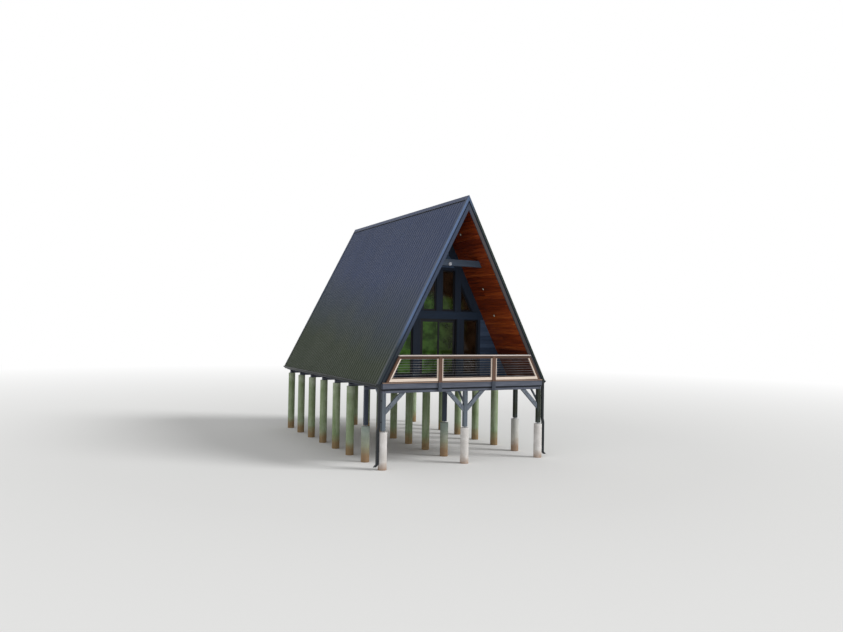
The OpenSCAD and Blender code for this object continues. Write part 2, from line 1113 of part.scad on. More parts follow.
module middle_rail_panel() {
    bite = bar_w / 2;
    color("wheat")
        along_y(rail_y - plank_t / 2, rail_y + plank_t / 2)
            difference() {
                rect(-inner_x, toe_gap, inner_x, under_z);
                rect(-inner_x + bar_w, toe_gap + bottom_bar_h, inner_x - bar_w, cap_z);
            }
    color("silver")
        for (i = [0 : cable_count - 1])
            cable(-inner_x + bite, inner_x - bite, cable_z + i * cable_pitch);
}

module right_panel() {
    bite = bar_w / 2;
    slant = end_w + bar_w / pitch_sin;
    bar_top = toe_gap + bottom_bar_h;
    color("wheat")
        along_y(rail_y - plank_t / 2, rail_y + plank_t / 2)
            difference() {
                polygon([
                    [outer_x, toe_gap],
                    [rail_end(toe_gap, end_w), toe_gap],
                    [rail_end(under_z, end_w), under_z],
                    [outer_x, under_z]
                ]);
                polygon([
                    [outer_x + bar_w, bar_top],
                    [rail_end(bar_top, slant), bar_top],
                    [rail_end(cap_z, slant), cap_z],
                    [outer_x + bar_w, cap_z]
                ]);
            }
    color("silver")
        for (i = [0 : cable_count - 1])
            let (z = cable_z + i * cable_pitch)
                cable(outer_x + bite, rail_end(z, slant - bite), z);
}

module right_rail_panel() {
    right_panel();
}

module left_rail_panel() {
    left_side()
        right_panel();
}

placed() short_piers();
placed() tall_piers();
placed() timber_posts();
placed() post_bases();
placed() floor_beams();
placed() knee_braces();
placed() rim_boards();
placed() floor_joists();
placed() deck_boards();
placed() floor_panel();
placed() rafters();
placed() roof_sheathing();
placed() left_roofing();
placed() right_roofing();
placed() ridge_cap();
placed() roof_lining();
placed() front_rakes();
placed() back_rakes();
placed() left_rake_trims();
placed() right_rake_trims();
placed() left_gutter();
placed() right_gutter();
placed() downspouts();
placed() collar_beam();
placed() porch_lights();
placed() collar_lamp();
placed() front_wall_left();
placed() front_wall_right();
placed() trim_band();
placed() front_wall_upper();
placed() front_window_frames();
placed() front_glass();
placed() door_frame();
placed() fixed_door_panel();
placed() sliding_door_panel();
placed() sliding_door_glass();
placed() back_wall();
placed() back_window_frames();
placed() back_glass();
placed() railing_posts();
placed() under_rails();
placed() rail_cap();
placed() left_rail_panel();
placed() middle_rail_panel();
placed() right_rail_panel();
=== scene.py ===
# %% [markdown]
# # An A-frame cabin on piers
# The cabin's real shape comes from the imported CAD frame: piers, platform, roof planes, gable walls,
# door, windows and railing. This lesson puts the looks around that frame: paints that follow the way
# each piece is made, and the small pieces that repeat many times, such as boards, laps and screws.
# Everything is in metres, with +Z up and the front deck towards -Y.

# %% Load the frame
import math
import random

import bmesh
import bpy
from mathutils import Matrix, Vector

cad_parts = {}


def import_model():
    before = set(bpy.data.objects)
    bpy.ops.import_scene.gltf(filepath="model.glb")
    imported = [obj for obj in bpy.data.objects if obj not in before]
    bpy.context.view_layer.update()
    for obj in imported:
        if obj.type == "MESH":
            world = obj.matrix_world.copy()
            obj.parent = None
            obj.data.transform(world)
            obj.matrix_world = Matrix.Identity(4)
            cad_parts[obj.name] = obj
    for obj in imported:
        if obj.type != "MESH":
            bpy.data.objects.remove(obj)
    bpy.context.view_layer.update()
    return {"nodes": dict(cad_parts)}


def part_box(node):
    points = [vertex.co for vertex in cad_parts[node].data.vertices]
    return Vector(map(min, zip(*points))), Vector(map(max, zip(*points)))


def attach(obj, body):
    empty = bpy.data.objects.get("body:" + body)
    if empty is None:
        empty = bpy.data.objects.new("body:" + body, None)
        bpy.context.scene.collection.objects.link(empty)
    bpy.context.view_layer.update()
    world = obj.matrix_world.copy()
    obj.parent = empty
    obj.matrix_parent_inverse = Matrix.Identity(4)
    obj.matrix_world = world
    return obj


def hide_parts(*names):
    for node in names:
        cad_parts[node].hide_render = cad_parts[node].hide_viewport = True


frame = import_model()
nodes = frame["nodes"]

# %% [markdown]
# The camera comes first, because every finish is judged from it. Its place and angles were found by
# matching the cabin's edges in the photograph: it stands well to the left of the front and looks
# along +Y, turned towards +X and a hair upwards. The rotation is built from the three directions of
# the camera's own frame, so that no angle convention has to be guessed.

# %% Camera
IMAGE_WIDTH = 843
FOCAL_PIXELS = 714.777
SENSOR = 36.0
CAMERA_PLACE = Vector((-12.769, -27.0218, 4.758))
CAMERA_YAW = math.radians(26.874)
CAMERA_PITCH = math.radians(0.845)
CAMERA_ROLL = math.radians(1.0)


def camera_matrix(place, yaw, pitch, roll):
    """World matrix of a camera that looks along +Y turned by yaw towards +X."""
    level = math.cos(pitch)
    forward = Vector((math.sin(yaw) * level, math.cos(yaw) * level, math.sin(pitch)))
    level_right = Vector((math.cos(yaw), -math.sin(yaw), 0.0))
    level_up = level_right.cross(forward)
    right = level_right * math.cos(roll) + level_up * math.sin(roll)
    up = level_up * math.cos(roll) - level_right * math.sin(roll)
    turn = Matrix((right, up, -forward)).transposed().to_4x4()
    return Matrix.Translation(place) @ turn


lens = bpy.data.cameras.new("camera")
lens.sensor_fit = "HORIZONTAL"
lens.sensor_width = SENSOR
lens.lens = FOCAL_PIXELS / IMAGE_WIDTH * SENSOR
lens.clip_end = 400.0
camera = bpy.data.objects.new("camera", lens)
camera.matrix_world = camera_matrix(CAMERA_PLACE, CAMERA_YAW, CAMERA_PITCH, CAMERA_ROLL)
bpy.context.scene.collection.objects.link(camera)
bpy.context.scene.camera = camera
print("lens", round(lens.lens, 2), "mm")

# %% [markdown]
# A finish is a tree of shader nodes. Written node by node such a tree is hard to read, so one small
# class wraps a socket and lets Python's own operators add the Math nodes, and another holds the tree
# and has the one method that makes any node. The same two serve Geometry Nodes further down.

# %% Node trees as expressions
class Output:
    """An output socket that takes part in Python expressions."""

    def __init__(self, tree, socket):
        self.tree = tree
        self.socket = socket

    def math(self, operation, *others):
        return self.tree.node("ShaderNodeMath", {"operation": operation}, [self, *others])

    def __add__(self, other):
        return self.math("ADD", other)

    def __sub__(self, other):
        return self.math("SUBTRACT", other)

    def __rsub__(self, other):
        return self.tree.node("ShaderNodeMath", {"operation": "SUBTRACT"}, [other, self])

    def __mul__(self, other):
        return self.math("MULTIPLY", other)

    def __truediv__(self, other):
        return self.math("DIVIDE", other)

    def __gt__(self, other):
        return self.math("GREATER_THAN", other)

    __radd__ = __add__
    __rmul__ = __mul__


class Tree:
    """A node tree and the one method that adds nodes to it."""

    def __init__(self, tree):
        self.tree = tree

    def node(self, kind, settings=None, values=(), out=0):
        node = self.tree.nodes.new(kind)
        for name, value in (settings or {}).items():
            if name == "stops":
                self.set_stops(node.color_ramp, value)
            else:
                setattr(node, name, value)
        pairs = values.items() if isinstance(values, dict) else enumerate(values)
        for name, value in pairs:
            self.feed(node.inputs[name], value)
        return Output(self, node.outputs[out]) if node.outputs else None

    def feed(self, socket, value):
        if isinstance(value, Output):
            self.tree.links.new(value.socket, socket)
        elif isinstance(value, list):
            for part in value:
                self.feed(socket, part)
        elif value is not None:
            socket.default_value = value

    def set_stops(self, ramp, stops):
        while len(ramp.elements) < len(stops):
            ramp.elements.new(1.0)
        for element, (place, color) in zip(ramp.elements, stops):
            element.position = place
            element.color = (*color[:3], 1.0)

    def vector(self, x, y, z):
        return self.node("ShaderNodeCombineXYZ", {}, [x, y, z])

    def vectors(self, operation, *values):
        return self.node("ShaderNodeVectorMath", {"operation": operation}, values)


class Finish(Tree):
    """A material whose pattern is laid out on the cabin's own X, Y and Z."""

    def __init__(self, name):
        self.material = bpy.data.materials.new(name)
        self.material.use_nodes = True
        super().__init__(self.material.node_tree)
        self.surface = self.tree.nodes["Principled BSDF"]
        self.place = self.node("ShaderNodeTexCoord", {}, [], out="Object")
        self.x, self.y, self.z = [
            self.node("ShaderNodeSeparateXYZ", {}, [self.place], out=i) for i in range(3)
        ]

    def noise(self, place, scale, detail, rough=0.55):
        sockets = {"Vector": place, "Scale": scale, "Detail": detail, "Roughness": rough}
        return self.node("ShaderNodeTexNoise", {}, sockets)

    def random(self, value):
        return self.node("ShaderNodeTexWhiteNoise", {"noise_dimensions": "1D"}, {"W": value})

    def remap(self, value, low, high, to_low=0.0, to_high=1.0):
        return self.node("ShaderNodeMapRange", {}, [value, low, high, to_low, to_high])

    def mix(self, factor, a, b, blend="MIX"):
        """Mixes colours: a Mix node's colour sockets are its inputs 6 and 7 and its output 2."""
        settings = {"data_type": "RGBA", "blend_type": blend}
        sockets = {0: factor, 6: rgba(a), 7: rgba(b)}
        return self.node("ShaderNodeMix", settings, sockets, out=2)

    def bump(self, height, distance, strength=1.0):
        sockets = {"Height": height, "Distance": distance, "Strength": strength}
        return self.node("ShaderNodeBump", {}, sockets)

    def done(self, color, roughness, normal=None, **constants):
        """Feeds the Principled shader; constants are named as its sockets, with _ for a space."""
        self.feed(self.surface.inputs["Base Color"], rgba(color))
        self.feed(self.surface.inputs["Roughness"], roughness)
        self.feed(self.surface.inputs["Normal"], normal)
        for name, value in constants.items():
            self.feed(self.surface.inputs[name.replace("_", " ")], value)
        return self.material


def rgba(color):
    return (*color, 1.0) if isinstance(color, tuple) and len(color) == 3 else color


def srgb(red, green, blue):
    """The linear colour of three 8-bit sRGB values."""
    def linear(value):
        value /= 255.0
        return value / 12.92 if value <= 0.04045 else ((value + 0.055) / 1.055) ** 2.4

    return tuple(linear(v) for v in (red, green, blue))


print("node expressions ready")

# %% [markdown]
# The main places of the house are read from the frame, so that a change in the CAD model moves the
# pieces and the finishes with it. Both roof planes share one slope: the back wall reaches from the
# deck to the lining, so its half width over its height is that slope. As in the CAD model, lengths
# count from the front face of the front rake boards and heights from the deck, and one small
# function turns such a place into the world's.

# %% Places from the frame
DECK_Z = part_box("deck_boards")[1].z
FRONT_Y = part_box("front_rakes")[0].y
ROOF_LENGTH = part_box("back_rakes")[1].y - FRONT_Y
wall_low, wall_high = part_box("back_wall")
RUN = wall_high.x / (wall_high.z - wall_low.z)
PITCH_SIN = 1.0 / math.hypot(1.0, RUN)
PITCH_COS = RUN * PITCH_SIN
CAP_METAL = 0.002
RIDGE_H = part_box("ridge_cap")[1].z - DECK_Z - CAP_METAL / PITCH_COS
HALF_SPAN = RIDGE_H * RUN
# Depths under the rib tops, square to the roof plane.
RIB_H = 0.022
LINING_TOP = 0.223
LINING_FACE = 0.239
INSIDE = LINING_FACE + 0.0005


def world(x, y, z):
    """A place of the house's own frame in the world."""
    return Vector((x, y + FRONT_Y, z + DECK_Z))


def plane_x(z, depth):
    """Level distance from the middle to the plane that lies depth below the rib tops."""
    return HALF_SPAN - RUN * z - depth / PITCH_SIN


def on_roof(side, y, down, height):
    """A place on a roof plane: down the slope from the ridge, height above the rib tops."""
    across = down * PITCH_COS + height * PITCH_SIN
    return world(side * across, y, RIDGE_H - down * PITCH_SIN + height * PITCH_COS)


def out_of_roof(side):
    return Vector((side * PITCH_SIN, 0.0, PITCH_COS))


print("ridge", round(RIDGE_H, 3), "half span", round(HALF_SPAN, 3), "length", round(ROOF_LENGTH, 3))

# %% [markdown]
# The studio is a pale floor and a white world. The world is white only for the camera, glossy and
# transmission rays; for the rest it is a soft grey light, so that colours render about as they are
# written. Two wide lamps give the cabin a lit side and a shaded side: the stronger one stands high in
# front and to the right, as the light in the photograph does.

# %% Studio
AMBIENT = 0.52
WHITE = (1.0, 1.0, 1.0, 1.0)
FLOOR_COLOR = (0.78, 0.78, 0.77)
FLOOR_REACH = 160.0
FADE_START, FADE_END = 12.0, 55.0

studio_world = bpy.data.worlds.new("studio")
studio_world.use_nodes = True
bpy.context.scene.world = studio_world
studio = Tree(studio_world.node_tree)
for old in list(studio.tree.nodes):
    studio.tree.nodes.remove(old)
rays = [studio.node("ShaderNodeLightPath", {}, [], out=f"Is {kind} Ray")
        for kind in ("Camera", "Glossy", "Transmission")]
seen = (rays[0] + rays[1] + rays[2]) > 0.5
strength = seen * (1.0 - AMBIENT) + AMBIENT
light = studio.node("ShaderNodeBackground", {}, {"Color": WHITE, "Strength": strength})
studio.node("ShaderNodeOutputWorld", {}, [light])


def sun(name, towards, energy, angle):
    lamp = bpy.data.lights.new(name, "SUN")
    lamp.energy = energy
    lamp.angle = math.radians(angle)
    obj = bpy.data.objects.new(name, lamp)
    obj.rotation_euler = Vector(towards).to_track_quat("-Z", "Y").to_euler()
    bpy.context.scene.collection.objects.link(obj)


sun("key", (-0.74, 0.54, -0.68), 1.9, 20)
sun("fill", (0.90, 0.35, -0.55), 0.28, 50)

floor_mesh = bpy.data.meshes.new("floor")
corners = [(x * FLOOR_REACH, y * FLOOR_REACH, 0) for x, y in ((-1, -1), (1, -1), (1, 1), (-1, 1))]
floor_mesh.from_pydata(corners, [], [range(4)])
floor = bpy.data.objects.new("floor", floor_mesh)
bpy.context.scene.collection.objects.link(floor)
floor_finish = Finish("floor")
length = {"operation": "LENGTH"}
far = floor_finish.node("ShaderNodeVectorMath", length, [floor_finish.place], out="Value")
fade = floor_finish.remap(far, FADE_START, FADE_END)
floor_finish.done(FLOOR_COLOR, 0.9, Specular_IOR_Level=0.0)
white = floor_finish.node("ShaderNodeEmission", {}, {"Color": WHITE, "Strength": 1.0})
surface = Output(floor_finish, floor_finish.surface.outputs[0])
both = floor_finish.node("ShaderNodeMixShader", {}, [fade, surface, white])
floor_finish.feed(floor_finish.tree.nodes["Material Output"].inputs["Surface"], both)
floor_mesh.materials.append(floor_finish.material)
bpy.context.scene.view_settings.view_transform = "Standard"
print("studio ready")

# %% [markdown]
# Stained timber. The posts, beams, braces, rims and rakes carry one blue-grey solid stain that lets
# some of the sawn grain through. Grain runs along each piece, so the noise is stretched along X, Y or
# Z to suit. A second, slower noise makes the clouds that weather leaves, and the bump follows the
# fibres, because a stain doesn't fill them as a paint does.

# %% Stained timber
ALONG = {"X": (1.2, 26.0, 26.0), "Y": (26.0, 1.2, 26.0), "Z": (26.0, 26.0, 1.2), "ANY": (9.0, 9.0, 9.0)}


def grain(finish, along, place=None, scale=1.0):
    """Fibres along one of the cabin's axes, from 0 to 1."""
    stretched = finish.vectors("MULTIPLY", place or finish.place, ALONG[along])
    return finish.noise(stretched, scale, 5.0, 0.62)


def shade(color, factor):
    return tuple(min(1.0, c * factor) for c in color)


def shade_of(finish, tone, factor):
    """As shade, for a colour that is itself an output of nodes."""
    return finish.mix(1.0, tone, (factor,) * 3, "MULTIPLY")


def stained(name, color, along, spread=0.30, roughness=0.62, others=()):
    """Solid stain on sawn timber; others are (mask maker, color) pairs for parts in other tones."""
    finish = Finish(name)
    fibre = grain(finish, along)
    cloud = finish.noise(finish.place, 1.1, 4.0)
    if others:
        for mask, other in others:
            color = finish.mix(mask(finish), color, other)
        dark, pale = shade_of(finish, color, 1.0 - spread), shade_of(finish, color, 1.0 + spread)
    else:
        dark, pale = shade(color, 1.0 - spread), shade(color, 1.0 + spread)
    tone = finish.mix(finish.remap(fibre, 0.34, 0.66), dark, pale)
    tone = finish.mix(finish.remap(cloud, 0.5, 0.75, 0.0, 0.4), tone, dark)
    rough = finish.remap(fibre, 0.3, 0.7, roughness - 0.08, roughness + 0.1)
    return finish.done(tone, rough, finish.bump(fibre, 0.0014), Specular_IOR_Level=0.25)


STAIN = srgb(88, 93, 106)
POST_STAIN = srgb(94, 103, 112)
BRACE_STAIN = srgb(106, 114, 124)
RAKE_STAIN = srgb(52, 64, 86)
RAKE_SHADE = srgb(66, 62, 64)
WALL_STAIN = srgb(34, 47, 64)
RAIL_STAIN = srgb(98, 73, 60)


def groove_shade(finish):
    """1 in the groove of the rake boards, between two depths under the rib tops, where painted shade
    darkens the recess.
    """
    side = finish.x.math("ABSOLUTE") + (finish.z - DECK_Z) * RUN
    depth = (HALF_SPAN - side) * PITCH_SIN
    return finish.remap(depth, 0.064, 0.070) * finish.remap(depth, 0.128, 0.122)


def right_side_shade(finish):
    """1 on the right half of the house, which gets painted shade."""
    return finish.remap(finish.x, -0.1, 0.3)


def right_foot_shade(finish):
    """Grows towards the foot of the right rakes: painted shade, warmed by a painted reflection of the
    red lining.
    """
    return right_side_shade(finish) * finish.remap(finish.z, DECK_Z + 4.0, DECK_Z + 1.5)


def rake_foot_shade(finish):
    """1 on the lowest metre and a half of the rakes, which get painted shade."""
    return finish.remap(finish.z, DECK_Z + 2.0, DECK_Z + 1.1)


RIM_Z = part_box("rim_boards")[0].z


def rim_shadow(finish):
    """1 on the strip of a beam right under the rim, where the rim's shadow is painted."""
    below = finish.remap(finish.z, RIM_Z + 0.002, RIM_Z)
    return below * finish.remap(finish.z, RIM_Z - 0.062, RIM_Z - 0.055)


def at_corner(finish):
    """1 on the outer right column, in clouds, where the stain turns dark olive."""
    cloud = finish.noise(finish.place, 2.4, 4.0)
    return finish.remap(finish.x, 2.6, 2.9) * finish.remap(cloud, 0.25, 0.55, 0.55, 1.0)


def second_row_shade(finish):
    """1 on the posts behind the front ones, which get painted shade."""
    return finish.remap(finish.y, FRONT_Y + 0.8, FRONT_Y + 0.9)


def under_deck(finish):
    """1 below the deck, where the railing posts are stained as the frame is."""
    return finish.remap(finish.z, DECK_Z - 0.02, DECK_Z - 0.03)


# The second row of posts gets painted shade; the outer right column gets a dark olive tone.
post_tones = [(second_row_shade, srgb(56, 64, 78)), (at_corner, srgb(38, 44, 32))]
upright = stained("stain_upright", POST_STAIN, "Z", 0.3, 0.62, post_tones)
# The beams carry the rim's painted shadow just under the rim.
across = stained("stain_across", STAIN, "X", others=[(rim_shadow, srgb(32, 36, 44))])
lengthways = stained("stain_lengthways", shade(STAIN, 0.8), "Y")
brace_stain = stained("stain_brace", BRACE_STAIN, "ANY", 0.18)
# The rakes get painted shade at their foot, on the right half and in the groove, and lower on the right
# a warm painted reflection of the lining.
rake_tones = [(rake_foot_shade, srgb(40, 48, 56)), (right_side_shade, RAKE_SHADE), (right_foot_shade, srgb(56, 50, 50)),
              (groove_shade, shade(RAKE_STAIN, 0.4))]
rake_stain = stained("rake_stain", RAKE_STAIN, "ANY", 0.16, 0.6, rake_tones)
collar_stain = stained("collar_stain", srgb(63, 76, 92), "X", 0.25)
wall_stain = stained("wall_stain", WALL_STAIN, "Z", 0.2)
band_stain = stained("band_stain", srgb(38, 55, 76), "X", 0.2)
gable_stain = stained("gable_stain", srgb(30, 38, 50), "X", 0.2)
bare_timber = stained("bare_timber", srgb(188, 152, 108), "Y", 0.2)
rail_stain = stained("rail_stain", RAIL_STAIN, "Z", 0.25, 0.55, [(under_deck, srgb(70, 76, 88))])
under_rail_stain = stained("under_rail_stain", shade(RAIL_STAIN, 0.75), "X", 0.25, 0.55)
pale_rail = stained("pale_rail", srgb(230, 214, 199), "X", 0.12, 0.5)
cap_finish = stained("cap_finish", srgb(208, 198, 192), "X", 0.12, 0.5)
print("timber finishes made")

# %% [markdown]
# Coated sheet metal comes in panels, each about five ribs wide, rolled from different coils, so each
# panel has its own slight tone. Rain draws faint streaks down the slope, and near the eave a green
# tone takes the blue out of the coat, stronger on the left slope: a film of algae and a painted
# reflection of green light. Streaks run down the roof, so their noise is fine along Y and slow down
# the slope. Just under the hem of the ridge cap a dark strip is the cap's painted shadow.

# %% Coated metal
PANEL_WIDTH = 0.975
CAP_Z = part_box("ridge_cap")[0].z


def coated(name, color, roughness, metallic=0.2, panels=False, others=()):
    """Coated sheet: slow waves in the tone and a satin gloss that dust breaks up."""
    finish = Finish(name)
    wave = finish.noise(finish.place, 0.5, 3.0)
    tone = finish.mix(finish.remap(wave, 0.3, 0.7), shade(color, 0.92), shade(color, 1.08))
    for mask, other in others:
        tone = finish.mix(mask(finish), tone, other)
    if panels:
        panel = ((finish.y - FRONT_Y) / PANEL_WIDTH).math("FLOOR")
        own = finish.random(panel + 7.0)
        tone = finish.mix(own * 0.5, tone, shade(color, 0.84))
        streak = finish.noise(finish.vectors("MULTIPLY", finish.place, (0.4, 7.0, 0.4)), 1.0, 4.0)
        tone = finish.mix(finish.remap(streak, 0.52, 0.8, 0.0, 0.35), tone, shade(color, 1.35))
        # A green tone near the eave, stronger on the left slope: a film of algae and a painted
        # reflection of green light.
        depth = (finish.y - FRONT_Y) * 0.12
        film_and_reflection = finish.remap(finish.z + wave * 1.2 - depth, DECK_Z + 3.9, DECK_Z + 1.0)
        shaded = finish.remap(finish.x, 0.2, -0.2, 0.5, 0.92)
        tone = finish.mix(film_and_reflection * shaded, tone, srgb(56, 64, 44))
        # A dark strip just under the hem of the ridge cap: the cap's painted shadow.
        below = finish.remap(finish.z, CAP_Z + 0.012, CAP_Z + 0.008)
        cap_shadow = below * finish.remap(finish.z, CAP_Z - 0.050, CAP_Z - 0.036)
        tone = finish.mix(cap_shadow, tone, srgb(22, 28, 38))
    rough = finish.remap(wave, 0.3, 0.75, roughness - 0.05, roughness + 0.1)
    return finish.done(tone, rough, finish.bump(wave, 0.003), Metallic=metallic, Specular_IOR_Level=0.3)


def give(material, *names):
    for name in names:
        mesh = nodes[name].data
        mesh.materials.clear()
        mesh.materials.append(material)


def shaded_wing(finish):
    """1 on the trim's wing over the roof, which gets a painted shade darker than the face."""
    behind = finish.remap(finish.y, FRONT_Y - 0.001, FRONT_Y + 0.001)
    back_y = FRONT_Y + ROOF_LENGTH
    return behind * finish.remap(finish.y, back_y + 0.001, back_y - 0.001)


roof_coat = coated("roofing", srgb(68, 78, 104), 0.55, 0.1, panels=True)
# One metal in lit and shaded tones: the trim's face is painted lighter as a sky reflection and its wing
# darker; the right trims and the trims' foot get painted shade.
trim_tones = [(shaded_wing, srgb(36, 54, 80)), (rake_foot_shade, srgb(40, 50, 56)),
              (right_side_shade, srgb(32, 43, 38))]
trim_coat = coated("rake_trim", srgb(84, 104, 138), 0.42, 0.1, others=trim_tones)
gutter_coat = coated("gutter", srgb(38, 42, 46), 0.4)
frame_coat = coated("dark_frame", srgb(22, 25, 32), 0.38)
give(roof_coat, "left_roofing", "right_roofing", "ridge_cap")
give(trim_coat, "left_rake_trims", "right_rake_trims")
give(gutter_coat, "left_gutter", "right_gutter", "downspouts")
print("coated metal set")

# %% [markdown]
# Bare metal. Hot-dip zinc on hangers, plates and nuts crystallises in patches a few millimetres to a
# centimetre wide, each with its own grey, which a Voronoi texture's random cell colour gives directly.
# The railing's cables and their end fittings are brushed stainless steel.

# %% Bare metal
def galvanised(name, color, roughness=0.45):
    finish = Finish(name)
    sockets = {"Vector": finish.place, "Scale": 120.0}
    cell = finish.node("ShaderNodeTexVoronoi", {}, sockets, out="Color")
    patch = finish.node("ShaderNodeSeparateXYZ", {}, [cell])
    dirt = finish.noise(finish.place, 6.0, 4.0)
    tone = finish.mix(patch, shade(color, 0.85), shade(color, 1.12))
    tone = finish.mix(finish.remap(dirt, 0.5, 0.8, 0.0, 0.6), tone, srgb(92, 82, 72))
    rough = finish.remap(patch, 0.0, 1.0, roughness - 0.1, roughness + 0.1)
    return finish.done(tone, rough, Metallic=0.75)


zinc = galvanised("zinc", srgb(158, 160, 162))
stainless = galvanised("stainless", srgb(172, 174, 176), 0.55)
dark_screw = galvanised("dark_screw", srgb(92, 98, 112), 0.45)
bolt_finish = galvanised("bolt_finish", srgb(72, 76, 82), 0.5)
give(zinc, "post_bases")
print("bare metal set")

# %% [markdown]
# The piers are concrete cast in paper tubes. The tube is wound from a strip, and its seam leaves a
# raised spiral on the pier; mud splashes up the foot. The back piers are green, partly from a film of
# algae and partly from a painted reflection of green light, and a second row under the deck gets
# painted shade, bluer higher up. The spiral needs the angle round each pier, so the place is first
# folded back to the nearest pier of the grid: what remains is the offset from its axis.

# %% Concrete piers
POST = 0.14
COLUMN_X = (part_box("timber_posts")[1].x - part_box("timber_posts")[0].x - POST) / 2.0
ROWS = 8
ROW_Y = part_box("floor_beams")[0].y + POST / 2.0
LAST_ROW_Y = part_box("floor_beams")[1].y - POST / 2.0
ROW_PITCH = (LAST_ROW_Y - ROW_Y) / (ROWS - 1)
SEAM_PITCH = 0.19


def cast_concrete(name, pale, dark, film_and_reflection, film_and_reflection_top, deck_shade_tone=None):
    """A film up to a height, on the back piers partly painted reflection; the last, painted shade."""
    finish = Finish(name)
    cloud = finish.noise(finish.place, 3.2, 5.0)
    pits = finish.noise(finish.place, 60.0, 3.0)
    off_x = finish.x - (finish.x / COLUMN_X).math("ROUND") * COLUMN_X
    row = ((finish.y - ROW_Y) / ROW_PITCH).math("ROUND")
    off_y = finish.y - row * ROW_PITCH - ROW_Y
    turns = off_y.math("ARCTAN2", off_x) / math.tau + finish.z / SEAM_PITCH
    seam = finish.remap((turns.math("FRACT") - 0.5).math("ABSOLUTE"), 0.0, 0.05, 1.0, 0.0)
    tone = finish.mix(finish.remap(cloud, 0.3, 0.7), dark, pale)
    drip = finish.noise(finish.vectors("MULTIPLY", finish.place, (9.0, 9.0, 0.8)), 1.0, 3.0)
    tone = finish.mix(finish.remap(drip, 0.55, 0.8, 0.0, 0.45), tone, shade(dark, 0.75))
    # A film up to a height: on the back piers green algae and a painted reflection of green light.
    film_and_reflection_mask = finish.remap(finish.z + cloud * 0.9, film_and_reflection_top, film_and_reflection_top - 0.5) * 0.8
    tone = finish.mix(film_and_reflection_mask * finish.remap(drip, 0.35, 0.6, 1.0, 0.4), tone, film_and_reflection)
    behind = finish.remap(finish.y, ROW_Y + 0.4 * ROW_PITCH, ROW_Y + 0.6 * ROW_PITCH)
    # A second row under the deck gets painted shade, yellower low and bluer higher up.
    if deck_shade_tone:
        in_deck_shade = behind * finish.remap(finish.x, 0.4 * COLUMN_X, 0.6 * COLUMN_X, 1.0, 0.35)
        painted_deck_shade = finish.mix(finish.remap(finish.z, 0.5, 1.1), deck_shade_tone, srgb(145, 158, 149))
        tone = finish.mix(in_deck_shade * finish.remap(cloud, 0.2, 0.5, 0.7, 1.0), tone, painted_deck_shade)
    splash = finish.remap(finish.z + cloud * 0.35 - behind * 0.22, 0.50, 0.16)
    tone = finish.mix(splash * 0.75, tone, srgb(144, 104, 68))
    tone = finish.mix(seam * 0.18, tone, shade(dark, 0.6))
    height = pits * 0.3 + seam + cloud * 0.5
    return finish.done(tone, finish.remap(cloud, 0.3, 0.7, 0.78, 0.92), finish.bump(height, 0.002))


# Back piers: green that is partly algae and partly painted reflection; front: a second row's painted
# shade.
pier_front = cast_concrete("pier_front", srgb(228, 225, 223), srgb(198, 194, 190),
                           srgb(207, 201, 191), 0.9, srgb(144, 147, 122))
pier_back = cast_concrete("pier_back", srgb(184, 195, 170), srgb(140, 154, 126),
                          srgb(116, 137, 90), 3.0)
print("column spacing", round(COLUMN_X, 3), "row spacing", round(ROW_PITCH, 3))

# %% [markdown]
# Glass. By day a window shows two things: the dark room behind it, and dull, uneven patches of
# reflected light, here a painted reflection in the glass's colour: green low on the left and brown
# to the right and high up. Real refraction in two panes is slow to render and noisy, and from outside
# nobody sees the bend, so the pane is a dark glossy skin with a constant Alpha that lets a little of
# the room through.

# %% Glass
def window_glass(name, color, alpha):
    finish = Finish(name)
    ripple = finish.noise(finish.place, 0.7, 2.0)
    patches = finish.noise(finish.place, 3.2, 5.0)
    # Painted reflection: brown to the right and high up, green low on the left, in darker patches.
    high = finish.remap(finish.z, DECK_Z + 2.9, DECK_Z + 3.25, 0.0, 1.4)
    away = finish.remap(finish.x + high + ripple * 0.8, 0.0, 1.6)
    tone = finish.mix(away, color, srgb(58, 42, 28))
    tone = finish.mix(finish.y > 0.0, tone, srgb(44, 52, 46))
    tone = finish.mix(finish.remap(patches, 0.38, 0.6), shade_of(finish, tone, 0.4), tone)
    rough = finish.remap(patches, 0.5, 0.8, 0.02, 0.08)
    return finish.done(tone, rough, finish.bump(ripple, 0.003, 0.2), Alpha=alpha, IOR=1.22)


give(window_glass("glass", srgb(88, 133, 60), 0.9), "front_glass", "back_glass", "sliding_door_glass")
print("glass set")

# %% [markdown]
# Sawn timber never has a razor edge: the planer takes a few millimetres off every corner, and that
# little chamfer is what catches the light. A CAD node's mesh stays as it is, so each visible timber
# piece gets a copy: its loose triangles are joined, flat faces are merged, and a bevel eases each
# corner inwards, so no size changes. A flat face with a notch is parted at its inner corners first,
# because a bevelled outline that nearly touches itself is filled wrongly. The copy stands for the node.

# %% Eased edges
FLAT = math.radians(0.5)
SHARP = math.radians(30.0)


def joined_copy(name):
    """A CAD node's loose triangles as one bmesh."""
    mesh = bmesh.new()
    mesh.from_mesh(nodes[name].data)
    bmesh.ops.remove_doubles(mesh, verts=mesh.verts, dist=1e-5)
    return mesh


def flatten(mesh):
    """Merges the triangles of each flat face, and parts the face again at its inner corners."""
    bmesh.ops.dissolve_limit(mesh, angle_limit=FLAT, verts=mesh.verts, edges=mesh.edges)
    bmesh.ops.connect_verts_concave(mesh, faces=mesh.faces)


def ease(mesh, width):
    """Bevels every edge whose two faces meet at a sharp angle."""
    sharp = [e for e in mesh.edges if len(e.link_faces) == 2 and e.calc_face_angle(0.0) > SHARP]
    bmesh.ops.bevel(mesh, geom=sharp, offset=width, segments=1, profile=0.5, affect="EDGES",
                    clamp_overlap=True)


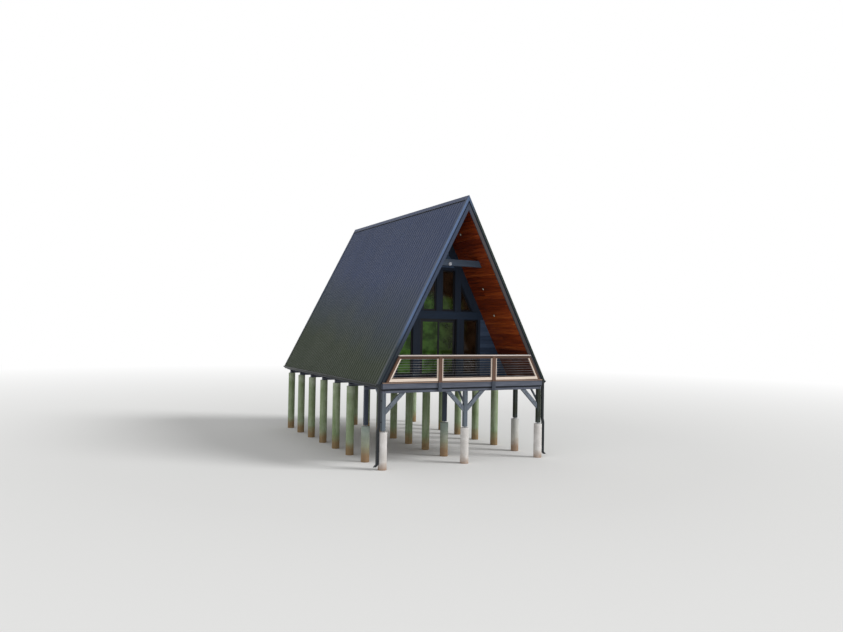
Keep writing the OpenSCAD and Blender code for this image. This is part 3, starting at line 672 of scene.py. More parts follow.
def keep(mesh, name, material, body="cabin"):
    """Turns a bmesh into a finished piece that rides on a body."""
    data = bpy.data.meshes.new(name)
    mesh.to_mesh(data)
    mesh.free()
    data.materials.append(material)
    piece = bpy.data.objects.new(name, data)
    bpy.context.scene.collection.objects.link(piece)
    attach(piece, body)
    return piece


def eased(name, width, material, body="cabin"):
    mesh = joined_copy(name)
    flatten(mesh)
    ease(mesh, width)
    piece = keep(mesh, name + "_eased", material, body)
    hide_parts(name)
    return len(piece.data.polygons)


EASED = [
    ("frame_timber", 0.006, upright, "timber_posts"),
    ("frame_timber", 0.006, across, "floor_beams"),
    ("frame_timber", 0.005, brace_stain, "knee_braces"),
    ("frame_timber", 0.003, across, "rim_boards"),
    ("frame_timber", 0.003, lengthways, "floor_joists"),
    ("frame_timber", 0.005, collar_stain, "collar_beam"),
    ("rake_timber", 0.003, rake_stain, "front_rakes", "back_rakes"),
    ("wall_timber", 0.003, wall_stain, "front_wall_left", "front_wall_right"),
    ("wall_timber", 0.003, band_stain, "trim_band"),
    ("rail_timber", 0.005, rail_stain, "railing_posts"),
    ("rail_timber", 0.003, under_rail_stain, "under_rails"),
    ("cap_timber", 0.008, cap_finish, "rail_cap"),
    ("concrete", 0.006, pier_front, "short_piers"),
    ("concrete", 0.006, pier_back, "tall_piers"),
    ("frame_metal", 0.003, frame_coat, "front_window_frames", "back_window_frames", "door_frame"),
    ("frame_metal", 0.002, frame_coat, "fixed_door_panel"),
]
faces = 0
for slot, width, material, *names in EASED:
    for name in names:
        faces += eased(name, width, material)
faces += eased("sliding_door_panel", 0.002, frame_coat, "sliding_door")
give(gable_stain, "front_wall_upper", "back_wall")
give(bare_timber, "rafters", "roof_sheathing")
print("eased copies,", faces, "faces")

# %% [markdown]
# Each railing panel is a pale wooden frame with steel cables pulled through it. The CAD node holds
# both in one solid, so its copy is parted by place: a face belongs to a cable when all its corners lie
# within the cable's radius of one cable's line. The holes that the cables leave in the bars are
# filled, and the cables become a piece of steel.

# %% Railing panels and cables
CABLE_Z, CABLE_PITCH = 0.163, 0.086
CABLE_REACH = 0.0033
HOLE_SIDES = 64
rail_low, rail_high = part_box("under_rails")
CABLE_Y = (rail_low.y + rail_high.y) / 2.0


def on_cable(face):
    """Whether a face of a railing panel belongs to a cable."""
    row = round((face.verts[0].co.z - DECK_Z - CABLE_Z) / CABLE_PITCH)
    line_z = DECK_Z + CABLE_Z + row * CABLE_PITCH
    return all(math.hypot(v.co.z - line_z, v.co.y - CABLE_Y) < CABLE_REACH for v in face.verts)


PANELS = ("left", "middle", "right")
for side in PANELS:
    node = side + "_rail_panel"
    for cables, ending, material in ((True, "_cables", stainless), (False, "_panel_bars", pale_rail)):
        mesh = joined_copy(node)
        other = [face for face in mesh.faces if on_cable(face) != cables]
        bmesh.ops.delete(mesh, geom=other, context="FACES")
        rims = [e for e in mesh.edges if e.is_boundary]
        bmesh.ops.holes_fill(mesh, edges=rims, sides=HOLE_SIDES)
        if not cables:
            flatten(mesh)
            ease(mesh, 0.003)
        piece = keep(mesh, side + ending, material)
        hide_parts(node)
        print(piece.name, len(piece.data.polygons), "faces")

# %% [markdown]
# Geometry Nodes make what repeats. A tree is written once, with named inputs for its sizes, and run
# on a layout: a mesh of loose points, one for each board or screw, that carries what differs from one
# to the next as attributes. The class below adds the inputs, and ends each tree by making its
# instances real and setting the finish. Its partner runs a tree and keeps the result as a plain mesh.

# %% Growing pieces from layouts
class Grower(Tree):
    """A Geometry Nodes tree with named inputs for its sizes."""

    SOCKETS = {int: "NodeSocketInt", float: "NodeSocketFloat"}

    def __init__(self, name, sizes):
        super().__init__(bpy.data.node_groups.new(name, "GeometryNodeTree"))
        self.sizes = sizes
        face = self.tree.interface
        face.new_socket("Layout", in_out="INPUT", socket_type="NodeSocketGeometry")
        for label, value in sizes.items():
            face.new_socket(label, in_out="INPUT", socket_type=self.SOCKETS[type(value)])
        face.new_socket("Finish", in_out="INPUT", socket_type="NodeSocketMaterial")
        face.new_socket("Piece", in_out="OUTPUT", socket_type="NodeSocketGeometry")
        self.entry = self.tree.nodes.new("NodeGroupInput")

    def given(self, label):
        return Output(self, self.entry.outputs[label])

    def carried(self, label, kind="FLOAT"):
        """An attribute that the layout's points carry."""
        return self.node("GeometryNodeInputNamedAttribute", {"data_type": kind}, [label])

    def moved(self, geometry, place):
        return self.node("GeometryNodeTransform", {}, {"Geometry": geometry, "Translation": place})

    def block(self, x, y, z, place):
        """A block of three sizes with its middle at a place."""
        cube = self.node("GeometryNodeMeshCube", {}, [self.vector(x, y, z)])
        return self.moved(cube, place)

    def cylinder(self, sides, radius, depth, base):
        """A cylinder that stands on the height base, its axis along Z."""
        sockets = {"Vertices": sides, "Radius": radius, "Depth": depth}
        drum = self.node("GeometryNodeMeshCylinder", {}, sockets)
        return self.moved(drum, self.vector(0.0, 0.0, depth * 0.5 + base))

    def joined(self, *parts):
        return self.node("GeometryNodeJoinGeometry", {}, [list(parts)])

    def placed(self, template, rotation, scale=None):
        sockets = {"Points": self.given("Layout"), "Instance": template, "Rotation": rotation,
                   "Scale": scale}
        return self.node("GeometryNodeInstanceOnPoints", {}, sockets)

    def turned(self):
        return self.node("FunctionNodeEulerToRotation", {}, [self.carried("turn", "FLOAT_VECTOR")])

    def facing(self):
        towards = {"Vector": self.carried("facing", "FLOAT_VECTOR")}
        return self.node("FunctionNodeAlignRotationToVector", {"axis": "Z"}, towards)

    def end(self, geometry):
        real = self.node("GeometryNodeRealizeInstances", {}, [geometry])
        flat = self.node("GeometryNodeSetShadeSmooth", {}, {"Geometry": real, "Shade Smooth": False})
        sockets = {"Geometry": flat, "Material": self.given("Finish")}
        done = self.node("GeometryNodeSetMaterial", {}, sockets)
        self.node("NodeGroupOutput", {}, [done])


def layout(points, **carried):
    """A mesh of loose points, each with a value or a vector under every name in carried."""
    mesh = bpy.data.meshes.new("layout")
    mesh.from_pydata([tuple(p) for p in points], [], [])
    for label, values in carried.items():
        single = isinstance(values[0], float)
        data = mesh.attributes.new(label, "FLOAT" if single else "FLOAT_VECTOR", "POINT").data
        for item, value in zip(data, values):
            setattr(item, "value" if single else "vector", value)
    return mesh


def grow(tree, name, points, sizes, finish, body="cabin"):
    """Runs a tree on a layout and keeps the result as a plain mesh that rides on a body."""
    piece = bpy.data.objects.new(name, points)
    bpy.context.scene.collection.objects.link(piece)
    modifier = piece.modifiers.new("grow", "NODES")
    modifier.node_group = tree.tree
    values = {**tree.sizes, **sizes, "Finish": finish}
    for item in tree.tree.interface.items_tree:
        if item.in_out == "INPUT" and item.name in values:
            modifier[item.identifier] = values[item.name]
    evaluated = piece.evaluated_get(bpy.context.evaluated_depsgraph_get())
    mesh = bpy.data.meshes.new_from_object(evaluated)
    piece.modifiers.clear()
    piece.data = mesh
    mesh.name = name
    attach(piece, body)
    print(name, len(points.vertices), "points,", len(mesh.polygons), "faces")
    return piece


print("grower ready")

# %% [markdown]
# One tree makes every board of the house: deck boards, the lining's tongued boards and lap siding. A
# board is a four-cornered profile swept along a unit line, with its two outer corners eased, then
# stretched to the length that its point carries. Lap siding is a wedge, so the profile has a butt and
# a thinner tip. Where a board runs up to the roof its end is sawn on the slope: a last step slides
# the end's points sideways in step with their height.

# %% The board tree
board_sizes = {"Width": 0.14, "Butt": 0.016, "Tip": 0.016, "Tilt": 0.0, "Ease": 0.003}
boards = Grower("boards", board_sizes)
width, butt, tip = [boards.given(label) for label in ("Width", "Butt", "Tip")]
corners = {
    "Point 1": boards.vector(boards.given("Tilt"), 0.0, 0.0),
    "Point 2": boards.vector(0.0, width * -1.0, 0.0),
    "Point 3": boards.vector(tip, width * -1.0, 0.0),
    "Point 4": boards.vector(butt, 0.0, 0.0),
}
profile = boards.node("GeometryNodeCurvePrimitiveQuadrilateral", {"mode": "POINTS"}, corners)
outer = boards.node("GeometryNodeInputIndex") > 1.5
radius = outer * boards.given("Ease")
sockets = {"Curve": profile, "Count": 1, "Radius": radius}
profile = boards.node("GeometryNodeFilletCurve", {"mode": "POLY"}, sockets)
line = boards.node("GeometryNodeCurvePrimitiveLine", {}, {"End": (1.0, 0.0, 0.0)})
sockets = {"Curve": line, "Profile Curve": profile, "Fill Caps": True}
template = boards.node("GeometryNodeCurveToMesh", {}, sockets)
place = boards.node("GeometryNodeInputPosition")
reach = boards.node("ShaderNodeSeparateXYZ", {}, [place], out="X")
rise = boards.node("ShaderNodeSeparateXYZ", {}, [place], out="Z")
for label, value in (("reach", reach), ("rise", rise)):
    sockets = {"Geometry": template, "Name": label, "Value": value}
    template = boards.node("GeometryNodeStoreNamedAttribute", {"domain": "POINT"}, sockets)
stretch = boards.vector(boards.carried("length"), 1.0, boards.carried("height"))
rows = boards.placed(template, boards.turned(), stretch)
rows = boards.node("GeometryNodeRealizeInstances", {}, [rows])
reach = boards.carried("reach")
cut = reach * boards.carried("cut_end") + (1.0 - reach) * boards.carried("cut_start")
slide = boards.vector(cut * boards.carried("rise") * boards.carried("height"), 0.0, 0.0)
boards.end(boards.node("GeometryNodeSetPosition", {}, {"Geometry": rows, "Offset": slide}))


def turned(face, top):
    """Euler angles that point a board's face and its upper edge along two directions."""
    back = -Vector(face)
    top = Vector(top)
    return tuple(Matrix((back.cross(top), back, top)).transposed().to_euler())


class BoardList:
    """Collects boards, one point each, with the values that the tree reads."""

    def __init__(self, seed):
        self.chance = random.Random(seed)
        self.points = []
        labels = ("length", "height", "cut_start", "cut_end", "tone", "turn")
        self.values = {label: [] for label in labels}

    def add(self, place, turn, length, height=1.0, cut_start=0.0, cut_end=0.0, tone=None):
        tone = self.chance.random() if tone is None else tone
        self.points.append(place)
        row = (length, height, cut_start, cut_end, tone, turn)
        for label, value in zip(self.values, row):
            self.values[label].append(value)

    def mesh(self):
        return layout(self.points, **self.values)


print("board tree ready")

# %% [markdown]
# A finish for loose boards. Every board was sawn from another log, so each point's random "tone"
# picks a colour on a ramp, and shifts the grain so that it doesn't run on into the next board.

# %% Board finish
def boarded(name, stops, along, swing, roughness, coat=0.0, lit_low=None):
    """A board's own colour on a ramp; the last argument is painted light multiplied in lower down, with
    painted shade at the foot.
    """
    finish = Finish(name)
    tone = finish.node("ShaderNodeAttribute", {"attribute_name": "tone"}, [], out="Fac")
    place = finish.vectors("ADD", finish.place, finish.vector(tone * 37.0, tone * 53.0, tone * 71.0))
    fibre = grain(finish, along, place)
    figure = grain(finish, along, place, 0.3)
    fibre = finish.remap(fibre, 0.3, 0.7)
    figure = finish.remap(figure, 0.3, 0.7)
    pick = tone * (1.0 - swing) + fibre * (swing * 0.6) + figure * (swing * 0.4)
    color = finish.node("ShaderNodeValToRGB", {"stops": stops}, [pick], out="Color")
    # Painted light makes the lining lighter lower down, and painted shade darkens its foot by the deck.
    if lit_low:
        low = finish.remap(finish.z, DECK_Z + 5.2, DECK_Z + 1.6)
        color = finish.mix(low, color, lit_low, "MULTIPLY")
        foot_shade = finish.remap(finish.z, DECK_Z + 1.2, DECK_Z + 0.7)
        color = finish.mix(foot_shade * 0.65, color, srgb(46, 34, 30))
    rough = finish.remap(fibre, 0.0, 1.0, roughness - 0.07, roughness + 0.1)
    sheen = {"Coat_Weight": coat, "Coat_Roughness": 0.3, "Specular_IOR_Level": 0.25}
    return finish.done(color, rough, finish.bump(fibre, 0.0010), **sheen)


deck_finish = boarded("deck_finish", [
    (0.15, srgb(104, 80, 66)), (0.4, srgb(132, 106, 90)), (0.6, srgb(150, 126, 110)),
    (0.85, srgb(170, 148, 132))], "X", 0.55, 0.6)
lining_finish = boarded("lining_finish", [
    (0.12, srgb(56, 17, 7)), (0.32, srgb(88, 30, 10)), (0.5, srgb(112, 42, 14)),
    (0.68, srgb(136, 60, 22)), (0.88, srgb(166, 84, 38))],
    "Y", 0.72, 0.5, 0.12, lit_low=(1.5, 1.75, 1.75))
siding_finish = boarded("siding_finish", [
    (0.2, srgb(50, 68, 93)), (0.5, srgb(65, 86, 114)), (0.8, srgb(80, 102, 131))], "X", 0.5, 0.62)
print("board finishes made")

# %% [markdown]
# Deck boards run across the porch, parted by gaps that let the rain through, and butt end to end only
# over a joist. The foremost one is notched round the two railing posts. So it is sawn from its
# outline here, and the rest come from the board tree, laid face up.

# %% Deck boards
deck_low, deck_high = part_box("deck_boards")
BOARD_T = 0.028
DECK_GAP = 0.006
DECK_ROWS = 15
deck_pitch = (deck_high.y - deck_low.y + DECK_GAP) / DECK_ROWS
JOISTS = 17
JOIST_GAP = 2.0 * COLUMN_X / (JOISTS - 1)
RAIL_POST_X = 1.085
NOTCH = 0.070
NOTCH_Y = world(0, -0.0225, 0).y


def sawn(mesh, outline, direction, low, high):
    """Adds a prism to a bmesh: an outline pushed along an axis from low to high."""
    axis = Vector(direction)
    rings = [[mesh.verts.new(Vector(p) + axis * level) for p in outline] for level in (low, high)]
    count = len(outline)
    mesh.faces.new(rings[0][::-1])
    mesh.faces.new(rings[1])
    for i in range(count):
        j = (i + 1) % count
        mesh.faces.new((rings[0][i], rings[0][j], rings[1][j], rings[1][i]))


front = bmesh.new()
y0, y1 = deck_low.y, deck_low.y + deck_pitch - DECK_GAP
outline = [(deck_low.x, y0), (deck_high.x, y0), (deck_high.x, y1), (deck_low.x, y1)]
notches = [(x + step, y) for x in (-RAIL_POST_X, RAIL_POST_X)
           for step, y in ((-NOTCH, y0), (-NOTCH, NOTCH_Y), (NOTCH, NOTCH_Y), (NOTCH, y0))]
outline = [outline[0]] + notches + outline[1:]
sawn(front, [(x, y, 0.0) for x, y in outline], (0, 0, 1), DECK_Z - BOARD_T, DECK_Z)
bmesh.ops.recalc_face_normals(front, faces=front.faces)
ease(front, 0.003)
deck_front = keep(front, "front_deck_board", deck_finish)
tones = deck_front.data.attributes.new("tone", "FLOAT", "POINT")
for item in tones.data:
    item.value = 0.8
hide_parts("deck_boards")

flat_turn = turned((0, 0, 1), (0, 1, 0))
deck = BoardList(11)
for row in range(1, DECK_ROWS):
    joint = JOIST_GAP * deck.chance.choice((-4, -3, -2, 2, 3, 4))
    y = deck_low.y + row * deck_pitch
    for start, stop in ((deck_low.x, joint - 0.001), (joint + 0.001, deck_high.x)):
        deck.add((start, y, DECK_Z - BOARD_T), flat_turn, stop - start)
deck_sizes = {"Width": deck_pitch - DECK_GAP, "Butt": BOARD_T, "Tip": BOARD_T, "Ease": 0.004}
deck_piece = grow(boards, "deck_rows", deck.mesh(), deck_sizes, deck_finish)
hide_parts("deck_boards")

# %% [markdown]
# The lining under the rafters is tongued and grooved red pine that runs from front to back. A tongue
# hides in its groove, so only the eased edges show, which meet in a V. Boards butt over rafters, and
# no two neighbouring rows share a joint. Both slopes use the same rows.

# %% Roof lining
RAFTER_GAP = 0.61
RAKE_T = 0.038
LINING_W = 0.133
BUTT_GAP = 0.0005
lining_low = (LINING_FACE - LINING_TOP) * PITCH_COS
lining_top_z = (HALF_SPAN - LINING_FACE / PITCH_SIN) / RUN
slope_length = (lining_top_z - lining_low) / PITCH_SIN
lining_rows = round(slope_length / LINING_W)
lining_pitch = slope_length / lining_rows
lining = BoardList(5)
for side in (-1, 1):
    face = -out_of_roof(side)
    up = Vector((-side * PITCH_COS, 0.0, PITCH_SIN))
    turn = turned(face, up)
    for row in range(lining_rows):
        z = lining_low + row * lining_pitch * PITCH_SIN
        first = RAKE_T + RAFTER_GAP * (2 + (row * 5 + 3) % 7)
        second = first + RAFTER_GAP * lining.chance.choice((4, 5, 6))
        stops = [RAKE_T, first, second, ROOF_LENGTH - RAKE_T]
        for start, stop in zip(stops, stops[1:]):
            base = world(side * plane_x(z, LINING_TOP), stop if side > 0 else start, z)
            lining.add(base, turn, stop - start - BUTT_GAP)
lining_sizes = {"Width": lining_pitch, "Butt": 0.016, "Tip": 0.016, "Ease": 0.006}
lining_piece = grow(boards, "lining_rows", lining.mesh(), lining_sizes, lining_finish)
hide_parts("roof_lining")

# %% [markdown]
# Lap siding covers the gables beside and over the windows. It is laid in courses from the bottom up,
# each lapping the one below, and sawn on the slope where it meets the lining. A course that passes a
# window is cut round it, so part of it is only a narrow strip over the head or under the sill.

# %% Lap siding
COURSE = 0.1557
LAP = 0.030
LOWEST, NARROWEST = 0.02, 0.06
siding_sizes = {"Width": COURSE + LAP, "Butt": 0.017, "Tip": 0.006, "Tilt": 0.006, "Ease": 0.002}
PORCH_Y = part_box("front_wall_upper")[0].y - FRONT_Y
REAR_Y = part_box("back_wall")[1].y - FRONT_Y


def clad(siding, y, face, low, high, half_width, holes=()):
    """Adds the courses between two heights, out to half_width(z), past rectangular holes."""
    turn = turned((0, face, 0), (0, 0, 1))
    z = low
    while z < high - LOWEST and half_width(z + COURSE) > NARROWEST:
        top = min(z + COURSE + LAP, high)
        tone = siding.chance.random()
        levels = sorted({z, top, *[min(max(h, z), top) for hole in holes for h in hole[2:]]})
        for z0, z1 in zip(levels, levels[1:]):
            blocked = sorted(h[:2] for h in holes if h[2] < z1 - 1e-6 and h[3] > z0 + 1e-6)
            edges = [-half_width(z0)] + [x for hole in blocked for x in hole] + [half_width(z0)]
            for x0, x1 in zip(edges[::2], edges[1::2]):
                start_x, cuts = x0, [RUN * (x0 == edges[0]), -RUN * (x1 == edges[-1])]
                if face > 0:
                    # A board on the back gable runs the other way, from +X to -X.
                    start_x, cuts = x1, cuts[::-1]
                scale = (z1 - z0) / (COURSE + LAP)
                siding.add(world(start_x, y, z0), turn, x1 - x0, scale, *cuts, tone)
        z += COURSE


def inside_x(z):
    return plane_x(z, INSIDE)


BAND_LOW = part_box("trim_band")[0].z - DECK_Z
BAND_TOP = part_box("trim_band")[1].z - DECK_Z
WINDOW_END = 1.82
SIDING_LOW = 0.012
FRIEZE = 0.33
HEAD_TOP = 4.13
siding = BoardList(3)
window_row = (-WINDOW_END, WINDOW_END, -1.0, RIDGE_H)
clad(siding, PORCH_Y, -1, SIDING_LOW, BAND_LOW, inside_x, [window_row])
clad(siding, PORCH_Y, -1, HEAD_TOP, RIDGE_H, lambda z: inside_x(z) - FRIEZE)
grow(boards, "front_siding", siding.mesh(), siding_sizes, siding_finish)

CASING = 0.09
BACK_FRIEZE = 0.16
MID_WINDOW = (0.13, 0.67, 2.49, 4.03)
BACK_WINDOW = (0.70, 1.34, 0.95, 2.18)
holes = []
for x0, x1, z0, z1 in (MID_WINDOW, BACK_WINDOW):
    for left, right in ((-x1, -x0), (x0, x1)):
        holes.append((left - CASING, right + CASING, z0 - CASING, z1 + CASING))
rear = BoardList(4)
clad(rear, REAR_Y, 1, SIDING_LOW, RIDGE_H, lambda z: inside_x(z) - BACK_FRIEZE, holes)
grow(boards, "back_siding", rear.mesh(), siding_sizes, siding_finish)

# %% [markdown]
# Trim closes the ends of the siding: frieze boards that follow the roof on each gable, a head board
# and posts between the front windows, and mitred casings round the back windows. They are flat boards
# with different outlines, so each is sawn from its outline and all corners are eased together.

# %% Gable trim
TRIM_T = 0.020
PROUD = 0.002
DRY = 0.0006
SLOPE_WINDOW_X = 0.93
mid_in, mid_out, mid_low, mid_top = MID_WINDOW


def upright_board(mesh, y, corners):
    sawn(mesh, [world(x, 0.0, z) for x, z in corners], (0, 1, 0), min(y), max(y))


def rect(x0, z0, x1, z1):
    return [(x0, z0), (x1, z0), (x1, z1), (x0, z1)]


def frieze(mesh, side, y, low, width):
    """A board between the lining and a line width inside it, from a height to the apex."""
    apex = (HALF_SPAN - INSIDE / PITCH_SIN) / RUN
    points = [(inside_x(low) - width, low), (inside_x(low), low), (DRY, apex - DRY),
              (DRY, apex - width / RUN)]
    upright_board(mesh, y, [(side * x, z) for x, z in points])


def casing(mesh, y, hole, width):
    """Four mitred boards round a rectangular opening."""
    x0, x1, z0, z1 = hole
    inner, outer = rect(x0, z0, x1, z1), rect(x0 - width, z0 - width, x1 + width, z1 + width)
    for i in range(4):
        j = (i + 1) % 4
        upright_board(mesh, y, [inner[i], inner[j], outer[j], outer[i]])


trim = bmesh.new()
front_y = (PORCH_Y - TRIM_T, PORCH_Y)
for side in (-1, 1):
    frieze(trim, side, (PORCH_Y - TRIM_T - PROUD, PORCH_Y), BAND_TOP + DRY, FRIEZE)
    upright_board(trim, front_y, rect(side * mid_out, BAND_TOP + DRY, side * SLOPE_WINDOW_X, mid_top))
upright_board(trim, front_y, rect(-mid_in, BAND_TOP + DRY, mid_in, mid_top))
head_in, head_out = inside_x(HEAD_TOP) - FRIEZE, inside_x(mid_top) - FRIEZE
head_outline = [(-head_out, mid_top + DRY), (head_out, mid_top + DRY),
                (head_in, HEAD_TOP), (-head_in, HEAD_TOP)]
upright_board(trim, front_y, head_outline)
bmesh.ops.recalc_face_normals(trim, faces=trim.faces)
ease(trim, 0.002)
keep(trim, "front_gable_trim", wall_stain)

trim = bmesh.new()
back_y = (REAR_Y, REAR_Y + TRIM_T)
for side in (-1, 1):
    frieze(trim, side, (REAR_Y, REAR_Y + TRIM_T + PROUD), SIDING_LOW, BACK_FRIEZE)
    for x0, x1, z0, z1 in (MID_WINDOW, BACK_WINDOW):
        casing(trim, back_y, (min(side * x0, side * x1), max(side * x0, side * x1), z0, z1), CASING)
bmesh.ops.recalc_face_normals(trim, faces=trim.faces)
ease(trim, 0.002)
keep(trim, "back_gable_trim", wall_stain)
print("gable trim made")

# %% [markdown]
# Screws, bolts and nuts are the small marks that give a building its scale. One tree makes them all:
# a washer and a head with as many sides as its input says, aimed along the "facing" direction of each
# point. Each has only a few faces, since the roof alone takes more than a thousand.

# %% The fastener tree
head_sizes = {"Sides": 6, "Head width": 0.010, "Head height": 0.006, "Washer width": 0.018,
              "Washer thickness": 0.002}
fasteners = Grower("fasteners", head_sizes)
thickness = fasteners.given("Washer thickness")
washer = fasteners.cylinder(10, fasteners.given("Washer width") * 0.5, thickness, 0.0)
head = fasteners.cylinder(fasteners.given("Sides"), fasteners.given("Head width") * 0.5,
                          fasteners.given("Head height"), thickness)
fasteners.end(fasteners.placed(fasteners.joined(washer, head), fasteners.facing()))


def heads(name, places, sizes, finish):
    """Fasteners from (place, facing) pairs."""
    mesh = layout([p for p, _ in places], facing=[tuple(f) for _, f in places])
    grow(fasteners, name, mesh, sizes, finish)


RIB_PITCH, RIB_FOOT, BESIDE_RIB = 0.195, 0.058, 0.047
CAP_SCREW_DOWN, ROOF_SCREW_DOWN = 0.135, 0.42
TRIM_SCREW_DOWN, TRIM_SCREW_GAP, TRIM_SCREW_DEPTH = 0.35, 0.6, 0.035
SCREW_ROWS = 12
TRIM_METAL = 0.0025
ribs = round((ROOF_LENGTH - RIB_FOOT) // RIB_PITCH)
rib_start = (ROOF_LENGTH - ribs * RIB_PITCH) / 2.0
roof_screws, cap_screws, trim_screws = [], [], []
for side in (-1, 1):
    out = out_of_roof(side)
    for i in range(ribs + 1):
        y = rib_start + i * RIB_PITCH
        cap_screws.append((on_roof(side, y, CAP_SCREW_DOWN, CAP_METAL), out))
        if i < ribs:
            for k in range(SCREW_ROWS):
                down = ROOF_SCREW_DOWN + k * RAFTER_GAP
                roof_screws.append((on_roof(side, y + BESIDE_RIB, down, -RIB_H), out))
    for k in range(SCREW_ROWS):
        down = TRIM_SCREW_DOWN + k * TRIM_SCREW_GAP
        for y, face in ((-TRIM_METAL, -1), (ROOF_LENGTH + TRIM_METAL, 1)):
            trim_screws.append((on_roof(side, y, down, -TRIM_SCREW_DEPTH), (0, face, 0)))
heads("roof_screws", roof_screws, {}, dark_screw)
heads("cap_screws", cap_screws, {}, dark_screw)
heads("trim_screws", trim_screws, {"Washer width": 0.015}, dark_screw)

# %% [markdown]
# Bolts hold the frame together. Carriage bolts pass through the railing posts and the rim, two
# through each end of a knee brace, three down the joint of each beam and its post, and four anchor
# nuts hold every post base on its pier.

# %% Bolts and nuts
RIM_T = 0.038
RAIL_POST_DEPTH = 0.089
BRACE_T = 0.089
BRACE_REACH = 0.69
brace_run = BRACE_REACH - POST / 2.0
rail_post_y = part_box("rim_boards")[0].y + RIM_T - RAIL_POST_DEPTH
beam_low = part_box("floor_beams")[0].z - DECK_Z
beam_y = ROW_Y - FRONT_Y
columns = (-COLUMN_X, 0.0, COLUMN_X)
forward, upwards = Vector((0, -1, 0)), Vector((0, 0, 1))

bolts = []
for x in (-RAIL_POST_X, RAIL_POST_X):
    for z in (-0.085, -0.165, -0.285):
        bolts.append((Vector((x, rail_post_y, z + DECK_Z)), forward))
for x, towards in ((-COLUMN_X, 1), (0.0, 1), (0.0, -1), (COLUMN_X, -1)):
    for along in (0.17, 0.27, 0.73, 0.83):
        inset, drop = POST / 2.0 + brace_run * along, brace_run * (1.0 - along)
        place = world(x + towards * inset, beam_y - BRACE_T / 2.0, beam_low - drop)
        bolts.append((place, forward))
for x in columns:
    for z in (-0.05, -0.11, 0.05):
        bolts.append((world(x, beam_y - POST / 2.0, beam_low + z), forward))
bolt_sizes = {"Sides": 8, "Head width": 0.020, "Head height": 0.009, "Washer width": 0.036}
heads("frame_bolts", bolts, bolt_sizes, bolt_finish)

PLATE_T = 0.008
NUT_INSET = 0.045
plate_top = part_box("post_bases")[0].z - DECK_Z + PLATE_T
nuts = []
for row in range(2):
    for x in columns:
        for dx in (-NUT_INSET, NUT_INSET):
            for dy in (-NUT_INSET, NUT_INSET):
                nuts.append((world(x + dx, beam_y + row * ROW_PITCH + dy, plate_top), upwards))
nut_sizes = {"Head width": 0.018, "Head height": 0.012, "Washer width": 0.028}
heads("anchor_nuts", nuts, nut_sizes, zinc)

# %% [markdown]
# Deck screws go in pairs through every board into every joist, and their dark dots draw the joists'
# lines on the deck.

# %% Deck screws
SCREW_INSET = 0.03
NEAR_POST = 0.08
joists_x = [-COLUMN_X + i * JOIST_GAP for i in range(JOISTS)]
deck_screws = []
for row in range(DECK_ROWS):
    for x in joists_x:
        if row == 0 and abs(abs(x) - RAIL_POST_X) < NEAR_POST:
            continue
        for inset in (SCREW_INSET, deck_pitch - DECK_GAP - SCREW_INSET):
            deck_screws.append((Vector((x, deck_low.y + row * deck_pitch + inset, DECK_Z)), upwards))
screw_sizes = {"Head width": 0.004, "Head height": 0.0004, "Washer width": 0.009,
               "Washer thickness": 0.0006}
heads("deck_screws", deck_screws, screw_sizes, bolt_finish)

# %% [markdown]
# Each cable ends in a threaded stud with a tapered sleeve pressed onto the cable and a nut against the
# bar. The sleeve is a cone drawn out along the cable. The points are the ends of the cables' own
# meshes, which lie on the inner faces of the bars.

# %% Cable fittings
fitting_sizes = {"Nut width": 0.019, "Nut height": 0.008, "Sleeve width": 0.013, "Sleeve length": 0.055,
                 "Cable width": 0.007}
fittings = Grower("cable_fittings", fitting_sizes)
nut_height, sleeve = fittings.given("Nut height"), fittings.given("Sleeve length")
nut = fittings.cylinder(6, fittings.given("Nut width") * 0.5, nut_height, 0.0)
cable_radius, sleeve_radius = [fittings.given(k + " width") * 0.5 for k in ("Cable", "Sleeve")]
sockets = {"Vertices": 10, "Radius Top": cable_radius, "Radius Bottom": sleeve_radius, "Depth": sleeve}
taper = fittings.node("GeometryNodeMeshCone", {}, sockets)
taper = fittings.moved(taper, fittings.vector(0.0, 0.0, nut_height))
fittings.end(fittings.placed(fittings.joined(nut, taper), fittings.facing()))

ends = []
for side in PANELS:
    rows_of_cable = {}
    for vertex in bpy.data.objects[side + "_cables"].data.vertices:
        row = round((vertex.co.z - DECK_Z - CABLE_Z) / CABLE_PITCH)
        rows_of_cable.setdefault(row, []).append(vertex.co)
    for row, points in rows_of_cable.items():
        low, high = min(v.x for v in points), max(v.x for v in points)
        middle_y = sum(v.y for v in points) / len(points)
        z = DECK_Z + CABLE_Z + row * CABLE_PITCH
        ends += [((low, middle_y, z), (1, 0, 0)), ((high, middle_y, z), (-1, 0, 0))]
mesh = layout([p for p, _ in ends], facing=[f for _, f in ends])
grow(fittings, "cable_fittings", mesh, {}, stainless)

# %% [markdown]
# Joist hangers carry the joists on the rims: a folded sheet with a seat under the joist, two cheeks
# and two flanges nailed to the rim. They are seen only from below, but from there they are the only
# bright marks. Gutter straps span the trough every 0.6 m.

# %% Hangers and straps
hanger_sizes = {"Joist": 0.038, "Height": 0.12, "Depth": 0.05, "Flange": 0.028, "Metal": 0.0015}
hangers = Grower("joist_hangers", hanger_sizes)
joist, height, depth, flange, metal = [hangers.given(k) for k in hanger_sizes]
seat = hangers.block(joist + metal * 2.0, depth, metal, hangers.vector(0.0, depth * 0.5, metal * -0.5))
parts = [seat]
for sign in (-1.0, 1.0):
    place = hangers.vector((joist + metal) * (0.5 * sign), depth * 0.5, height * 0.5)
    parts.append(hangers.block(metal, depth, height, place))
    place = hangers.vector((joist + flange) * (0.5 * sign), metal * 0.5, height * 0.5)
    parts.append(hangers.block(flange, metal, height, place))
hangers.end(hangers.placed(hangers.joined(*parts), hangers.turned()))

